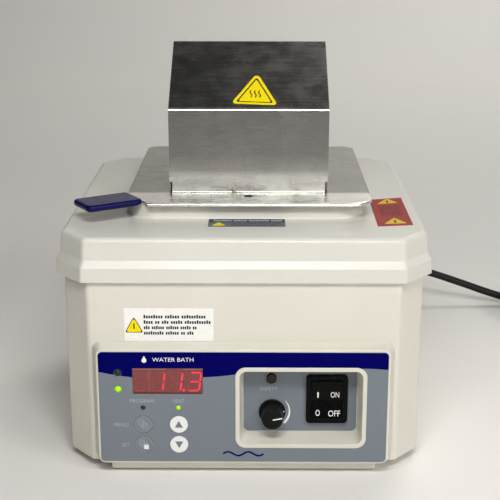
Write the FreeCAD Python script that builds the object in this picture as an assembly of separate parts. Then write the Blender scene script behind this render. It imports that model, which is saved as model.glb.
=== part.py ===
"""Laboratory water bath: a moulded housing with a control panel, a steel tank and a gabled steel cover.

Millimetres. +Z is up, +Y points to the back, and the control panel faces -Y.
The origin is at the middle of the footprint, on the surface that the feet stand on.
"""
import FreeCAD, Part
import math
import os

V = FreeCAD.Vector
X_AXIS = V(1, 0, 0)
Y_AXIS = V(0, 1, 0)
Z_AXIS = V(0, 0, 1)

# Whole object
DEPTH = 292.3                 # from the lamp domes on the panel to the back of the skirt
FRONT = -DEPTH / 2
BACK = DEPTH / 2

# Housing
BODY_HALF = 128.0
BODY_BOTTOM = 6.2
BODY_TOP = 150.0
BODY_CUT = (18.4, 21.5)       # corner chamfer, along X and along Y
BODY_CUT_ROUND = 5.0
WALL = 3.0
CUT_SHRINK = 0.58             # a corner cut gets shorter by this share of the inset
PANEL_FACE = FRONT + 1.2      # outer surface of the printed film
BODY_FRONT = PANEL_FACE + 12.0
BODY_BACK = BACK - 4.0

# Top cover. Each step: height, inset at the sides, inset at the front and back, rounding of the corners
SKIRT_HALF = 134.0
SKIRT_FRONT = BODY_FRONT - 3.1
SKIRT_CUT = (20.7, 24.9)
COVER_STEPS = [(142.2, 0.0, 0.0, 3.0), (152.2, 0.3, 0.3, 3.0), (157.3, 3.3, 3.2, 4.0), (173.0, 4.4, 4.3, 4.6)]
DECK = COVER_STEPS[-1][0]
DECK_ROUND = 3.8
COVER_WALL = 2.4

# Cover plate and its gable
SHEET = 1.0
BATH_X = 0.0                  # middle of the tank and of its raised rim
BATH_Y = 23.2
LID_X = 3.0                   # the loose cover plate sits a little to the right
LID_HALF_X = 91.3
LID_HALF_Y = 106.0
LID_TOP = 185.8
LID_LIP = 2.4                 # height of the turned-down rim
LID_EDGE_BEND = 1.6
LID_CORNERS = (10.0, 18.0, 10.0, 10.0)   # front left, front right, back right, back left
LID_HOLE_RADIUS = 3.6
LID_HOLE_Y = -59.4
GABLE_HALF_X = 59.65
GABLE_HALF_Y = 71.75
GABLE_BEND = 248.7
GABLE_RIDGE = 291.3
BEND_RADIUS = 2.5
GABLE_PROFILE = [
    (BATH_Y - GABLE_HALF_Y, LID_TOP - SHEET),
    (BATH_Y - GABLE_HALF_Y, GABLE_BEND),
    (BATH_Y, GABLE_RIDGE),
    (BATH_Y + GABLE_HALF_Y, GABLE_BEND),
    (BATH_Y + GABLE_HALF_Y, LID_TOP - SHEET),
]
SLIT_INTO_GABLE = 2.2         # relief slit at each foot corner of the gable
SLIT_HEIGHT = 8.0

# Raised rim of the top cover, under the cover plate
REST_GAP = 0.3
RIM_HALF_X = 88.1
RIM_HALF_Y = 100.5
RIM_TOP = LID_TOP - SHEET - REST_GAP
RIM_CORNER = 22.0
RIM_DRAFT = 1.5
RIM_TOP_ROUND = 2.8
RIM_FOOT_ROUND = 1.2

# Handle at the front left corner of the cover plate
GRIP_LENGTH = 44.0
GRIP_WIDTH = 28.5
GRIP_THICK = 5.0
GRIP_ANGLE = 212.0            # direction the handle points, from +X
GRIP_ROOT = (-80.7, -65.3)    # middle of the sloping cut across the plate's corner
GRIP_GAP = 0.4
TAB_HALF_WIDTH = 10.0
TAB_SHORT = 3.0               # the tongue ends this far inside the grip's tip
GRIP_RELIEF = (1.5, 8.5)      # the grip's underside slopes between these distances, clear of the rim

# Tank
TANK_HALF_X = 75.0
TANK_HALF_Y = 88.0
TANK_FLOOR_X = 66.0
TANK_FLOOR_Y = 78.5
TANK_CORNER = 18.0
TANK_STEEL = 1.2
TANK_FLOOR = 76.3
GASKET = 1.5
TANK_RIM = RIM_TOP - WALL - GASKET
TANK_RIM_WIDTH = 7.0
PROBE = (-40.0, 100.0)        # where the temperature probe passes the tank's front wall
PROBE_RADIUS = 2.0
PROBE_TIP = -54.0

# Tray: narrow enough to rise inside the gable
TRAY_HALF_X = 55.2
TRAY_HALF_Y = 68.0
TRAY_TOP = 88.0
TRAY_SHEET = 1.2
TRAY_HOLE_RADIUS = 2.6
TRAY_HOLE_PITCH = 11.5
TRAY_LEG_HALF = 50.0
BAIL_RADIUS = 1.5
BAIL_HALF_WIDTH = 14.0
BAIL_HEIGHT = 26.0
BAIL_INSET = 10.5

# Control panel
BEZEL_BASE_HALF = 107.3
BEZEL_FACE_HALF = 103.3
BEZEL_BASE_Z = (8.2, 97.8)
BEZEL_FACE_Z = (9.2, 96.2)
BEZEL_WALL = 2.5
FILM = 0.4
FILM_HALF = 101.8
FILM_Z = (10.9, 94.4)
BEZEL_FACE = PANEL_FACE + FILM
DISPLAY_BOARD = BODY_FRONT - 0.4   # front face of the display board
WINDOW_X = (-77.9, -28.4)
WINDOW_Z = (63.0, 82.4)
LED_X = -88.2
LED_Z = (78.9, 66.4)
INDICATOR_X = (-70.9, -45.9)
INDICATOR_Z = 52.4
KEY_X = (-70.9, -45.8)
KEY_Z = (39.6, 24.1)
KEY_RADIUS = 6.4
KEY_GAP = 0.3
LED_RADIUS = 2.5
LED_PROUD = 1.2
INDICATOR_RADIUS = 1.75
INDICATOR_PROUD = 0.5

# Recess in the panel, with the knob, lamp and switch
RING_X = (-5.7, 87.2)
RING_Z = (21.6, 83.2)
RING_PROUD = 0.7
WELL_MOUTH_X = (-2.6, 84.3)
WELL_MOUTH_Z = (25.0, 80.3)
WELL_BACK_X = (-0.5, 81.8)
WELL_BACK_Z = (27.9, 77.4)
WELL_BACK = PANEL_FACE + 15.0
WELL_WALL = 2.0
KNOB = (20.6, 43.6)
KNOB_FACE = FRONT + 0.1
KNOB_SKIRT = 1.4
KNOB_SKIRT_RADIUS = 9.6
KNOB_FLUTES = 18
SHAFT_RADIUS = 2.98
SHAFT_BORE = 3.04
KNOB_POINTS = 11.0            # degrees above level, to the right
LAMP = (20.0, 69.4)
SWITCH = (59.8, 53.7)
SWITCH_HALF = (14.9, 18.5)
SWITCH_FACE = WELL_BACK - 3.0
SWITCH_CORNER = 3.0
SWITCH_MOUTH_CORNER = 2.2
ROCKER_HALF = (11.3, 14.3)
ROCKER_TILT = 6.0             # each way from level
ROCKER_PIVOT = SWITCH_FACE + 3.6
PIN_RADIUS = 1.5
PIN_BORE = 1.56

# Base
BASE_HALF = 95.5
BASE_FRONT = -137.3           # the base plate shows under the panel
BASE_BACK = BODY_BACK - 1.5
BASE_BOTTOM = 1.8
BASE_INSIDE = BASE_BOTTOM + 2.5
FOOT_X = 76.0
FOOT_Y = 108.0
FOOT_RADIUS = 11.0
BOARD_TOP = 21.6              # upper face of the control board
BOARD_THICK = 1.6

# Stickers: spans or corners
LABEL_THICK = 0.2
GABLE_LABEL = (35.0, 37.0)    # width and height of its triangle before the corners are rounded
GABLE_LABEL_ROUND = 2.5
GABLE_LABEL_X = 7.2
GABLE_LABEL_UP = 6.0          # up the slope from the bend
GABLE_LABEL_TURN = -3.0
FRONT_LABEL = ((-83.8, -21.0), (98.4, 122.7))
DECK_LABEL = [(-25.8, -99.7), (29.8, -99.7), (29.8, -78.9), (-25.8, -78.9)]
CORNER_LABEL = [(96.0, -98.3), (121.7, -94.0), (122.1, -12.0), (96.5, -19.3)]

# Mains lead
CORD_RADIUS = 3.65
CORD_EXIT = (95.0, 50.0)
RELIEF_LENGTH = 40.0
RELIEF_END = BODY_BACK + RELIEF_LENGTH
CORD_ROUTE = [
    (95.0, RELIEF_END, 50.0),
    (95.0, 198.0, 50.0),
    (100.0, 216.0, 49.6),
    (112.0, 231.0, 48.4),
    (129.0, 241.0, 46.0),
    (150.0, 245.0, 41.3),
    (173.0, 245.5, 35.2),
    (198.0, 243.0, 28.0),
    (223.0, 240.0, 20.0),
    (247.0, 237.0, 12.0),
    (270.0, 234.4, 6.0),
    (293.0, 232.4, 3.8),
]
COIL_CENTRE = (300.0, 190.0)
TURN_RADII = (34.85, 42.15)   # inner and outer turns, to the middle of the lead
COIL_INNER = TURN_RADII[0] - CORD_RADIUS
COIL_OUTER = TURN_RADII[1] + CORD_RADIUS
COIL_HEIGHT = 6 * CORD_RADIUS
TAIL_ROUTE = [
    (342.2, 190.0, 18.2),
    (342.4, 177.0, 18.1),
    (342.8, 164.0, 16.6),
    (343.3, 151.0, 14.2),
    (343.5, 138.0, 13.0),
]
PLUG_LENGTH = 44.0


def block(x0, x1, y0, y1, z0, z1):
    """Box between two corners."""
    return Part.makeBox(x1 - x0, y1 - y0, z1 - z0, V(x0, y0, z0))


def disc_y(radius, x, z, y0, y1):
    """Cylinder along Y."""
    return Part.makeCylinder(radius, y1 - y0, V(x, y0, z), Y_AXIS)


def disc_z(radius, x, y, z0, z1):
    """Cylinder along Z."""
    return Part.makeCylinder(radius, z1 - z0, V(x, y, z0), Z_AXIS)


def loop(corners, radius=0.0):
    """Closed wire through the corners, each one rounded by one radius or by its own."""
    arcs = []
    count = len(corners)
    radii = radius if isinstance(radius, tuple) else (radius,) * count
    for i, (corner, radius) in enumerate(zip(corners, radii)):
        before = (corners[i - 1] - corner).normalize()
        after = (corners[(i + 1) % count] - corner).normalize()
        half = before.getAngle(after) / 2
        setback = radius / math.tan(half)
        middle = corner + (before + after).normalize() * (radius / math.sin(half) - radius)
        arcs.append((corner + before * setback, middle, corner + after * setback))
    edges = []
    for i, (start, middle, end) in enumerate(arcs):
        if radii[i] > 0:
            edges.append(Part.Arc(start, middle, end).toShape())
        following = arcs[(i + 1) % count][0]
        edges.append(Part.LineSegment(end, following).toShape())
    return Part.Wire(edges)


def rect_z(half_x, half_y, centre_y, z, radius, centre_x=BATH_X):
    """Rounded rectangle lying flat."""
    x0, x1 = centre_x - half_x, centre_x + half_x
    y0, y1 = centre_y - half_y, centre_y + half_y
    return loop([V(x0, y0, z), V(x1, y0, z), V(x1, y1, z), V(x0, y1, z)], radius)


def rect_y(xs, zs, y, radius):
    """Rounded rectangle standing, facing Y."""
    return loop([V(xs[0], y, zs[0]), V(xs[1], y, zs[0]), V(xs[1], y, zs[1]), V(xs[0], y, zs[1])], radius)


def grown(span, by):
    """A span (low, high) made larger at both ends."""
    return (span[0] - by, span[1] + by)


def raise_z(wire, height):
    """Solid from a flat loop."""
    return Part.Face(wire).extrude(Z_AXIS * height)


def raise_y(wire, depth):
    """Solid from a standing loop."""
    return Part.Face(wire).extrude(Y_AXIS * depth)


def between(first, second):
    """Straight-sided solid between two loops."""
    return Part.makeLoft([first, second], True, True)


def octagon(half, y0, y1, cut, z, radius):
    """Rectangle with its four corners cut off, and the edges of each cut rounded."""
    cut_x, cut_y = cut
    return loop([
        V(-half + cut_x, y0, z), V(half - cut_x, y0, z), V(half, y0 + cut_y, z), V(half, y1 - cut_y, z),
        V(half - cut_x, y1, z), V(-half + cut_x, y1, z), V(-half, y1 - cut_y, z), V(-half, y0 + cut_y, z),
    ], radius)


def smaller_cut(cut, by):
    """Corner cut of an octagon that lies inside another one."""
    return (cut[0] - by, cut[1] - by)


def edges_where(shape, test):
    """Edges whose middle and direction pass a test."""
    found = []
    for edge in shape.Edges:
        ends = [vertex.Point for vertex in edge.Vertexes]
        if len(ends) == 2 and test(ends[0], ends[1]):
            found.append(edge)
    return found


def joined(pieces):
    """One solid from touching pieces."""
    return pieces[0].fuse(pieces[1:]).removeSplitter()


def cover_stack(inset, low, high):
    """Stepped octagonal stack that the top cover's outside and inside both follow."""
    levels = []
    for z, side, end, rounding in COVER_STEPS:
        levels.append([z, side + inset, end + inset, rounding])
    levels[0][0] = low
    levels[-1][0] = high
    loops = []
    for z, side, end, rounding in levels:
        cut = smaller_cut(SKIRT_CUT, CUT_SHRINK * side)
        loops.append(octagon(SKIRT_HALF - side, SKIRT_FRONT + end, BACK - end, cut, z, rounding))
    return joined([between(a, b) for a, b in zip(loops, loops[1:])])


def rim_pad(inset, low, high):
    """Raised rim around the tank opening, or its hollow when inset."""
    corner = RIM_CORNER - inset
    draft = RIM_DRAFT if inset == 0 else 0.0
    foot = rect_z(RIM_HALF_X - inset, RIM_HALF_Y - inset, BATH_Y, low, corner)
    top = rect_z(RIM_HALF_X - inset - draft, RIM_HALF_Y - inset - draft, BATH_Y, high, corner - draft)
    return between(foot, top)


def top_cover():
    outside = cover_stack(0.0, COVER_STEPS[0][0], DECK)
    top_edges = edges_where(outside, lambda a, b: min(a.z, b.z) > DECK - 0.1)
    outside = outside.makeFillet(DECK_ROUND, top_edges)
    pad = rim_pad(0.0, DECK - 1.0, RIM_TOP)
    outside = outside.fuse(pad).removeSplitter()
    pad_edges = edges_where(outside, lambda a, b: min(a.z, b.z) > RIM_TOP - 0.1)
    outside = outside.makeFillet(RIM_TOP_ROUND, pad_edges)
    foot_edges = edges_where(
        outside,
        lambda a, b: abs(a.z - DECK) < 0.1 and abs(b.z - DECK) < 0.1
        and max(abs(a.x - BATH_X), abs(b.x - BATH_X)) < RIM_HALF_X + 1
        and max(abs(a.y - BATH_Y), abs(b.y - BATH_Y)) < RIM_HALF_Y + 1,
    )
    outside = outside.makeFillet(RIM_FOOT_ROUND, foot_edges)
    hollow = cover_stack(COVER_WALL, COVER_STEPS[0][0] - 1.0, DECK - WALL)
    pad_hollow = rim_pad(WALL + RIM_DRAFT, DECK - WALL - 1.0, RIM_TOP - WALL)
    mouth = rect_z(TANK_HALF_X + 1, TANK_HALF_Y + 1, BATH_Y, RIM_TOP - WALL - 1, TANK_CORNER + 1)
    cover = outside.cut(hollow).cut(pad_hollow).cut(raise_z(mouth, WALL + 2))
    return cover


def lower_housing():
    outline = octagon(BODY_HALF, BODY_FRONT, BODY_BACK, BODY_CUT, BODY_BOTTOM, BODY_CUT_ROUND)
    outside = raise_z(outline, BODY_TOP - BODY_BOTTOM)
    lower = edges_where(outside, lambda a, b: max(a.z, b.z) < BODY_BOTTOM + 0.1)
    outside = outside.makeFillet(1.2, lower)
    inner_cut = smaller_cut(BODY_CUT, CUT_SHRINK * WALL)
    hollow = octagon(BODY_HALF - WALL, BODY_FRONT + WALL, BODY_BACK - WALL, inner_cut,
                     BODY_BOTTOM + WALL, BODY_CUT_ROUND - WALL)
    shell = outside.cut(raise_z(hollow, BODY_TOP))
    floor_hole = block(-84, 84, BODY_FRONT + 24, BODY_BACK - 24, 0, BODY_BOTTOM + WALL + 1)
    panel_hole = block(-99, 98, BODY_FRONT - 1, BODY_FRONT + WALL + 1, 16, 91)
    cord_hole = disc_y(6.2, CORD_EXIT[0], CORD_EXIT[1], BODY_BACK - WALL - 1, BODY_BACK + 1)
    shell = shell.cut(floor_hole).cut(panel_hole).cut(cord_hole)
    for x, y in screw_places():
        shell = shell.cut(disc_z(1.7, x, y, 0, BODY_BOTTOM + WALL + 1))
    return shell


def screw_places():
    """Where the base plate is screwed to the housing."""
    return [(x, y) for x in (-88.5, 88.5) for y in (-100.0, 5.0, 110.0)]


def base_plate():
    outline = rect_z(BASE_HALF, (BASE_BACK - BASE_FRONT) / 2, (BASE_BACK + BASE_FRONT) / 2,
                     BASE_BOTTOM, 1.5, 0.0)
    plate = raise_z(outline, BODY_BOTTOM - BASE_BOTTOM)
    pocket = block(-81, 81, BODY_FRONT + 27, BODY_BACK - 27, BASE_INSIDE, BODY_BOTTOM + 1)
    plate = plate.cut(pocket)
    for i in range(7):
        y = -66 + 24 * i
        plate = plate.cut(block(-50, -10, y, y + 5, 0, BODY_BOTTOM))
        plate = plate.cut(block(10, 50, y, y + 5, 0, BODY_BOTTOM))
    for x, y in foot_places():
        plate = plate.cut(disc_z(3.0, x, y, 0, BODY_BOTTOM))
    for x, y in screw_places():
        plate = plate.cut(disc_z(2.2, x, y, 0, BODY_BOTTOM + 1))
        plate = plate.cut(disc_z(4.2, x, y, 0, BASE_BOTTOM + 3.0))
    return plate


def foot_places():
    """Front left, front right, back left, back right."""
    return [(x, y) for y in (-FOOT_Y, FOOT_Y) for x in (-FOOT_X, FOOT_X)]


def foot(x, y):
    pad = disc_z(FOOT_RADIUS, x, y, 0, BASE_BOTTOM)
    pad = pad.makeFillet(0.6, edges_where_round(pad, 0.0))
    stem = disc_z(2.95, x, y, BASE_BOTTOM, BASE_BOTTOM + 3.4)
    return joined([pad, stem])


def edges_where_round(shape, z):
    """Round edges lying at one height."""
    return [e for e in shape.Edges if abs(e.BoundBox.ZMin - z) < 1e-6 and abs(e.BoundBox.ZMax - z) < 1e-6]


def base_screws():
    screws = []
    for x, y in screw_places():
        head = disc_z(3.8, x, y, BASE_BOTTOM + 0.8, BASE_BOTTOM + 3.0)
        head = head.cut(disc_z(1.3, x, y, BASE_BOTTOM, BASE_BOTTOM + 2.0))
        shank = disc_z(1.65, x, y, BASE_BOTTOM + 3.0, BODY_BOTTOM + WALL + 1.5)
        screws.append(joined([head, shank]))
    return Part.makeCompound(screws)


def control_bezel():
    base = rect_y((-BEZEL_BASE_HALF, BEZEL_BASE_HALF), BEZEL_BASE_Z, BODY_FRONT, 6.0)
    face = rect_y((-BEZEL_FACE_HALF, BEZEL_FACE_HALF), BEZEL_FACE_Z, BEZEL_FACE, 5.0)
    outside = between(face, base)
    rim = [e for e in outside.Edges if e.BoundBox.YMax < BEZEL_FACE + 0.01]
    outside = outside.makeFillet(1.1, rim)
    w = BEZEL_WALL
    hollow_face = rect_y((-BEZEL_FACE_HALF + w, BEZEL_FACE_HALF - w), grown(BEZEL_FACE_Z, -w),
                         BEZEL_FACE + w, 3.0)
    hollow_base = rect_y((-BEZEL_BASE_HALF + w, BEZEL_BASE_HALF - w), grown(BEZEL_BASE_Z, -w),
                         BODY_FRONT + 0.01, 4.0)
    ring = raise_y(rect_y(RING_X, RING_Z, PANEL_FACE - RING_PROUD, 7.5), FILM + RING_PROUD + 0.5)
    ring = ring.makeFillet(0.6, [e for e in ring.Edges if e.BoundBox.YMax < PANEL_FACE - RING_PROUD + 0.01])
    well = between(
        rect_y(grown(WELL_MOUTH_X, WELL_WALL), grown(WELL_MOUTH_Z, WELL_WALL), BEZEL_FACE + 0.2, 6.5),
        rect_y(grown(WELL_BACK_X, WELL_WALL), grown(WELL_BACK_Z, WELL_WALL), WELL_BACK + WELL_WALL, 5.5),
    )
    pocket = between(
        rect_y(WELL_MOUTH_X, WELL_MOUTH_Z, PANEL_FACE - RING_PROUD - 0.01, 5.0),
        rect_y(WELL_BACK_X, WELL_BACK_Z, WELL_BACK, 4.0),
    )
    bezel = outside.cut(between(hollow_face, hollow_base))
    bezel = joined([bezel, ring, well]).cut(pocket)
    for tool in panel_holes(BEZEL_FACE - 1, BEZEL_FACE + w + 1):
        bezel = bezel.cut(tool)
    for x in KEY_X:
        for z in KEY_Z:
            bezel = bezel.cut(disc_y(KEY_RADIUS + KEY_GAP, x, z, BEZEL_FACE - 1, BEZEL_FACE + 1.3))
            bezel = bezel.cut(disc_y(2.8, x, z, BEZEL_FACE, BEZEL_FACE + w + 1))
    bezel = bezel.cut(disc_y(4.5, KNOB[0], KNOB[1], WELL_BACK - 1, WELL_BACK + WELL_WALL + 1))
    bezel = bezel.cut(disc_y(3.3, LAMP[0], LAMP[1], WELL_BACK - 1, WELL_BACK + WELL_WALL + 1))
    bezel = bezel.cut(block(SWITCH[0] - 12.7, SWITCH[0] + 12.7, WELL_BACK - 1, WELL_BACK + WELL_WALL + 1,
                            SWITCH[1] - 16.2, SWITCH[1] + 16.2))
    return bezel


def panel_holes(y0, y1):
    """Openings for the window, the lamps and the indicators."""
    window = rect_y(WINDOW_X, WINDOW_Z, y0, 1.0)
    holes = [raise_y(window, y1 - y0)]
    holes += [disc_y(LED_RADIUS + 0.1, LED_X, z, y0, y1) for z in LED_Z]
    holes += [disc_y(INDICATOR_RADIUS + 0.1, x, INDICATOR_Z, y0, y1) for x in INDICATOR_X]
    return holes


def panel_film():
    film = raise_y(rect_y((-FILM_HALF, FILM_HALF), FILM_Z, PANEL_FACE, 3.0), FILM)
    for tool in panel_holes(PANEL_FACE - 1, BEZEL_FACE + 1):
        film = film.cut(tool)
    for x in KEY_X:
        for z in KEY_Z:
            film = film.cut(disc_y(KEY_RADIUS + KEY_GAP, x, z, PANEL_FACE - 1, BEZEL_FACE + 1))
    ring_hole = rect_y(grown(RING_X, 0.05), grown(RING_Z, 0.05), PANEL_FACE - 1, 7.55)
    return film.cut(raise_y(ring_hole, 3.0))


def well_film():
    """Printed film on the back of the recess."""
    film = raise_y(rect_y(grown(WELL_BACK_X, -0.6), grown(WELL_BACK_Z, -0.6), WELL_BACK - FILM, 3.6), FILM)
    film = film.cut(disc_y(5.0, KNOB[0], KNOB[1], WELL_BACK - 1, WELL_BACK + 1))
    film = film.cut(disc_y(4.3, LAMP[0], LAMP[1], WELL_BACK - 1, WELL_BACK + 1))
    switch_x = (SWITCH[0] - SWITCH_HALF[0] - 0.1, SWITCH[0] + SWITCH_HALF[0] + 0.1)
    switch_z = (SWITCH[1] - SWITCH_HALF[1] - 0.1, SWITCH[1] + SWITCH_HALF[1] + 0.1)
    return film.cut(raise_y(rect_y(switch_x, switch_z, WELL_BACK - 1, SWITCH_CORNER + 0.1), 2.0))


def display_window():
    return raise_y(rect_y(grown(WINDOW_X, -0.1), grown(WINDOW_Z, -0.1), PANEL_FACE + 0.1, 0.9), 2.0)


def display_module():
    """Housing of four digits."""
    return block(WINDOW_X[0] - 0.2, WINDOW_X[1] + 0.2, PANEL_FACE + 3.0, DISPLAY_BOARD,
                 WINDOW_Z[0] + 0.2, WINDOW_Z[1] - 0.2)


def dome_lamp(radius, x, z, proud):
    """Lamp with a round lens, a collar behind the panel and two leads."""
    front = PANEL_FACE - proud
    lens = Part.makeSphere(radius, V(x, front + radius, z))
    barrel = disc_y(radius, x, z, front + radius, BEZEL_FACE + BEZEL_WALL + 1.2)
    collar = disc_y(radius + 0.5, x, z, BEZEL_FACE + BEZEL_WALL + 0.2, BEZEL_FACE + BEZEL_WALL + 1.2)
    start = BEZEL_FACE + BEZEL_WALL + 1.0
    leads = [block(x + s - 0.25, x + s + 0.25, start, DISPLAY_BOARD, z - 0.25, z + 0.25) for s in (-1.0, 1.0)]
    return joined([lens, barrel, collar] + leads)


def key(x, z):
    """Key disc with the stem that reaches the switch on the display board."""
    disc = disc_y(KEY_RADIUS, x, z, PANEL_FACE - 0.1, PANEL_FACE + 1.0)
    disc = disc.makeFillet(0.25, [e for e in disc.Edges if e.BoundBox.YMax < PANEL_FACE - 0.09])
    return joined([disc, disc_y(2.4, x, z, PANEL_FACE + 1.0, DISPLAY_BOARD - 4.2)])


def display_board():
    board = block(-97, -12, DISPLAY_BOARD, DISPLAY_BOARD + BOARD_THICK, 18, 89)
    parts = [board]
    for x in KEY_X:
        for z in KEY_Z:
            parts.append(block(x - 3, x + 3, DISPLAY_BOARD - 2.8, DISPLAY_BOARD, z - 3, z + 3))
            parts.append(disc_y(1.7, x, z, DISPLAY_BOARD - 3.5, DISPLAY_BOARD - 2.8))
    parts.append(block(-30, -14, DISPLAY_BOARD + BOARD_THICK, DISPLAY_BOARD + 8, 30, 38))
    parts.append(block(-75, -55, DISPLAY_BOARD + BOARD_THICK, DISPLAY_BOARD + 4, 40, 52))
    return joined(parts)


def safety_lamp():
    x, z = LAMP
    lens = disc_y(3.9, x, z, WELL_BACK - 2.6, WELL_BACK - FILM)
    lens = lens.makeFillet(1.2, [e for e in lens.Edges if e.BoundBox.YMax < WELL_BACK - 2.59])
    flange = disc_y(3.9, x, z, WELL_BACK - FILM, WELL_BACK)
    barrel = disc_y(3.2, x, z, WELL_BACK, WELL_BACK + 14)
    return joined([lens, flange, barrel])


def safety_knob():
    """Knob with a skirt and a fluted grip."""
    x, z = KNOB
    back = WELL_BACK - FILM - 0.4
    front = back - KNOB_SKIRT
    skirt = disc_y(KNOB_SKIRT_RADIUS, x, z, front, back)
    skirt = skirt.makeFillet(0.6, [e for e in skirt.Edges if e.BoundBox.YMax < front + 0.01])
    grip = Part.makeCone(7.4, 8.0, front - KNOB_FACE, V(x, KNOB_FACE, z), Y_AXIS)
    grip = grip.makeFillet(0.8, [e for e in grip.Edges if e.BoundBox.YMax < KNOB_FACE + 0.01])
    for i in range(KNOB_FLUTES):
        turn = math.radians((i + 0.5) * 360 / KNOB_FLUTES)
        fx, fz = x + 8.35 * math.cos(turn), z + 8.35 * math.sin(turn)
        grip = grip.cut(disc_y(0.85, fx, fz, KNOB_FACE - 1, front - 0.05))
    knob = joined([skirt, grip])
    knob = knob.cut(disc_y(SHAFT_RADIUS + 0.02, x, z, KNOB_FACE + 2.5, back + 1))
    return knob.cut(pointer_bar(0.0))


def pointer_bar(gap):
    """White line across the knob's face and down its side, pointing a little above level."""
    x, z = KNOB
    bar = block(x + 0.3, x + 7.2 - gap, KNOB_FACE - 0.02, KNOB_FACE + 0.6, z - 0.45, z + 0.45)
    return bar.rotate(V(x, 0, z), Y_AXIS, -KNOB_POINTS)


def knob_pointer():
    return pointer_bar(0.1)


def thermostat_shaft():
    x, z = KNOB
    return disc_y(SHAFT_RADIUS, x, z, KNOB_FACE + 2.6, WELL_BACK + WELL_WALL + 12)


def safety_thermostat():
    x, z = KNOB
    y0 = WELL_BACK + WELL_WALL
    case = block(x - 16, x + 16, y0 + 2.0, y0 + 28, z - 17, z + 17)
    case = case.makeFillet(2.0, edges_where(case, lambda a, b: abs(a.y - b.y) > 5))
    bush = disc_y(4.3, x, z, WELL_BACK + 0.3, y0 + 2.0)
    diaphragm = disc_y(14, x, z, y0 + 28, y0 + 31)
    tabs = [block(x + s - 3, x + s + 3, y0 + 12, y0 + 13, z + 17, z + 25) for s in (-9, 9)]
    body = joined([case, bush, diaphragm] + tabs)
    return body.cut(disc_y(SHAFT_BORE, x, z, WELL_BACK - 1, WELL_BACK + WELL_WALL + 13))


def thermostat_capillary():
    """Thin tube from the thermostat to its bulb on the tank's front wall."""
    x, z = KNOB
    y0 = WELL_BACK + WELL_WALL + 31
    route = [V(x, y0, z), V(x, y0 + 6, z), V(x, y0 + 10, z + 12), V(x, y0 + 8, z + 32), V(x, y0 + 9, z + 56)]
    tube = swept(route, 1.0)[0]
    bulb = disc_z(3.0, x, y0 + 9, z + 56, z + 96)
    return joined([tube, bulb])


def switch_housing():
    x, z = SWITCH
    hx, hz = SWITCH_HALF
    outline = rect_y((x - hx, x + hx), (z - hz, z + hz), SWITCH_FACE, SWITCH_CORNER)
    frame = raise_y(outline, WELL_BACK - SWITCH_FACE)
    frame = frame.makeFillet(0.9, [e for e in frame.Edges if e.BoundBox.YMax < SWITCH_FACE + 0.01])
    body = block(x - 12.5, x + 12.5, WELL_BACK, WELL_BACK + 26, z - 16, z + 16)
    switch = joined([frame, body])
    mouth_x = (x - ROCKER_HALF[0] - 0.3, x + ROCKER_HALF[0] + 0.3)
    mouth_z = (z - ROCKER_HALF[1] - 0.8, z + ROCKER_HALF[1] + 0.8)
    mouth = rect_y(mouth_x, mouth_z, SWITCH_FACE - 1, SWITCH_MOUTH_CORNER)
    switch = switch.cut(raise_y(mouth, ROCKER_PIVOT + 9.5 - SWITCH_FACE))
    pin_hole = Part.makeCylinder(PIN_BORE, 25.0, V(x - 12.5, ROCKER_PIVOT, z), X_AXIS)
    return switch.cut(pin_hole.common(block(x - 12.2, x + 12.2, -200, 0, 0, 200)))


def rocker_paddle():
    """Shallow V-shaped paddle on two pins, tilted so that its upper half is in."""
    x, z = SWITCH
    half = ROCKER_HALF[1]
    profile = [(-6.3, half), (-4.1, 0.0), (-6.3, -half), (0.5, -half), (5.5, -5.0), (5.5, 5.0), (0.5, half)]
    corners = [V(x - ROCKER_HALF[0], ROCKER_PIVOT + y, z + up) for y, up in profile]
    paddle = Part.Face(loop(corners, 0.6)).extrude(X_AXIS * (2 * ROCKER_HALF[0]))
    pins = Part.makeCylinder(PIN_RADIUS, 24.2, V(x - 12.1, ROCKER_PIVOT, z), X_AXIS)
    outline = rect_y((x - ROCKER_HALF[0], x + ROCKER_HALF[0]), (z - half, z + half), ROCKER_PIVOT - 10, 2.4)
    paddle = joined([paddle.common(raise_y(outline, 20.0)), pins])
    return paddle.rotate(V(x, ROCKER_PIVOT, z), X_AXIS, -ROCKER_TILT)


def switch_terminals():
    x, z = SWITCH
    y = WELL_BACK + 26
    return Part.makeCompound([
        block(x + sx - 3.15, x + sx + 3.15, y, y + 9, z + sz - 0.4, z + sz + 0.4)
        for sx in (-6, 6) for sz in (-9, 0, 9)
    ])


def tank_loop(extra, z, share):
    """Tank section at a height, where share is 0 at the floor and 1 at the rim."""
    half_x = TANK_FLOOR_X + (TANK_HALF_X - TANK_FLOOR_X) * share + extra
    half_y = TANK_FLOOR_Y + (TANK_HALF_Y - TANK_FLOOR_Y) * share + extra
    return rect_z(half_x, half_y, BATH_Y, z, TANK_CORNER + extra)


def tank():
    outside = between(tank_loop(TANK_STEEL, TANK_FLOOR - TANK_STEEL, 0), tank_loop(TANK_STEEL, TANK_RIM, 1))
    underside = TANK_FLOOR - TANK_STEEL
    outside = outside.makeFillet(9.0, [e for e in outside.Edges if e.BoundBox.ZMax < underside + 0.01])
    inside = between(tank_loop(0, TANK_FLOOR, 0), tank_loop(0, TANK_RIM + 0.01, 1))
    inside = inside.makeFillet(8.0, [e for e in inside.Edges if e.BoundBox.ZMax < TANK_FLOOR + 0.01])
    rim = raise_z(tank_loop(TANK_RIM_WIDTH, TANK_RIM - TANK_STEEL, 1), TANK_STEEL)
    probe_hole = disc_y(PROBE_RADIUS + 0.05, PROBE[0], PROBE[1], PROBE_TIP - 20, PROBE_TIP)
    return joined([outside, rim]).cut(inside).cut(probe_hole)


def tank_gasket():
    ring = raise_z(tank_loop(TANK_RIM_WIDTH - 1.5, TANK_RIM, 1), GASKET)
    return ring.cut(raise_z(tank_loop(1.5, TANK_RIM - 1, 1), GASKET + 2))


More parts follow.
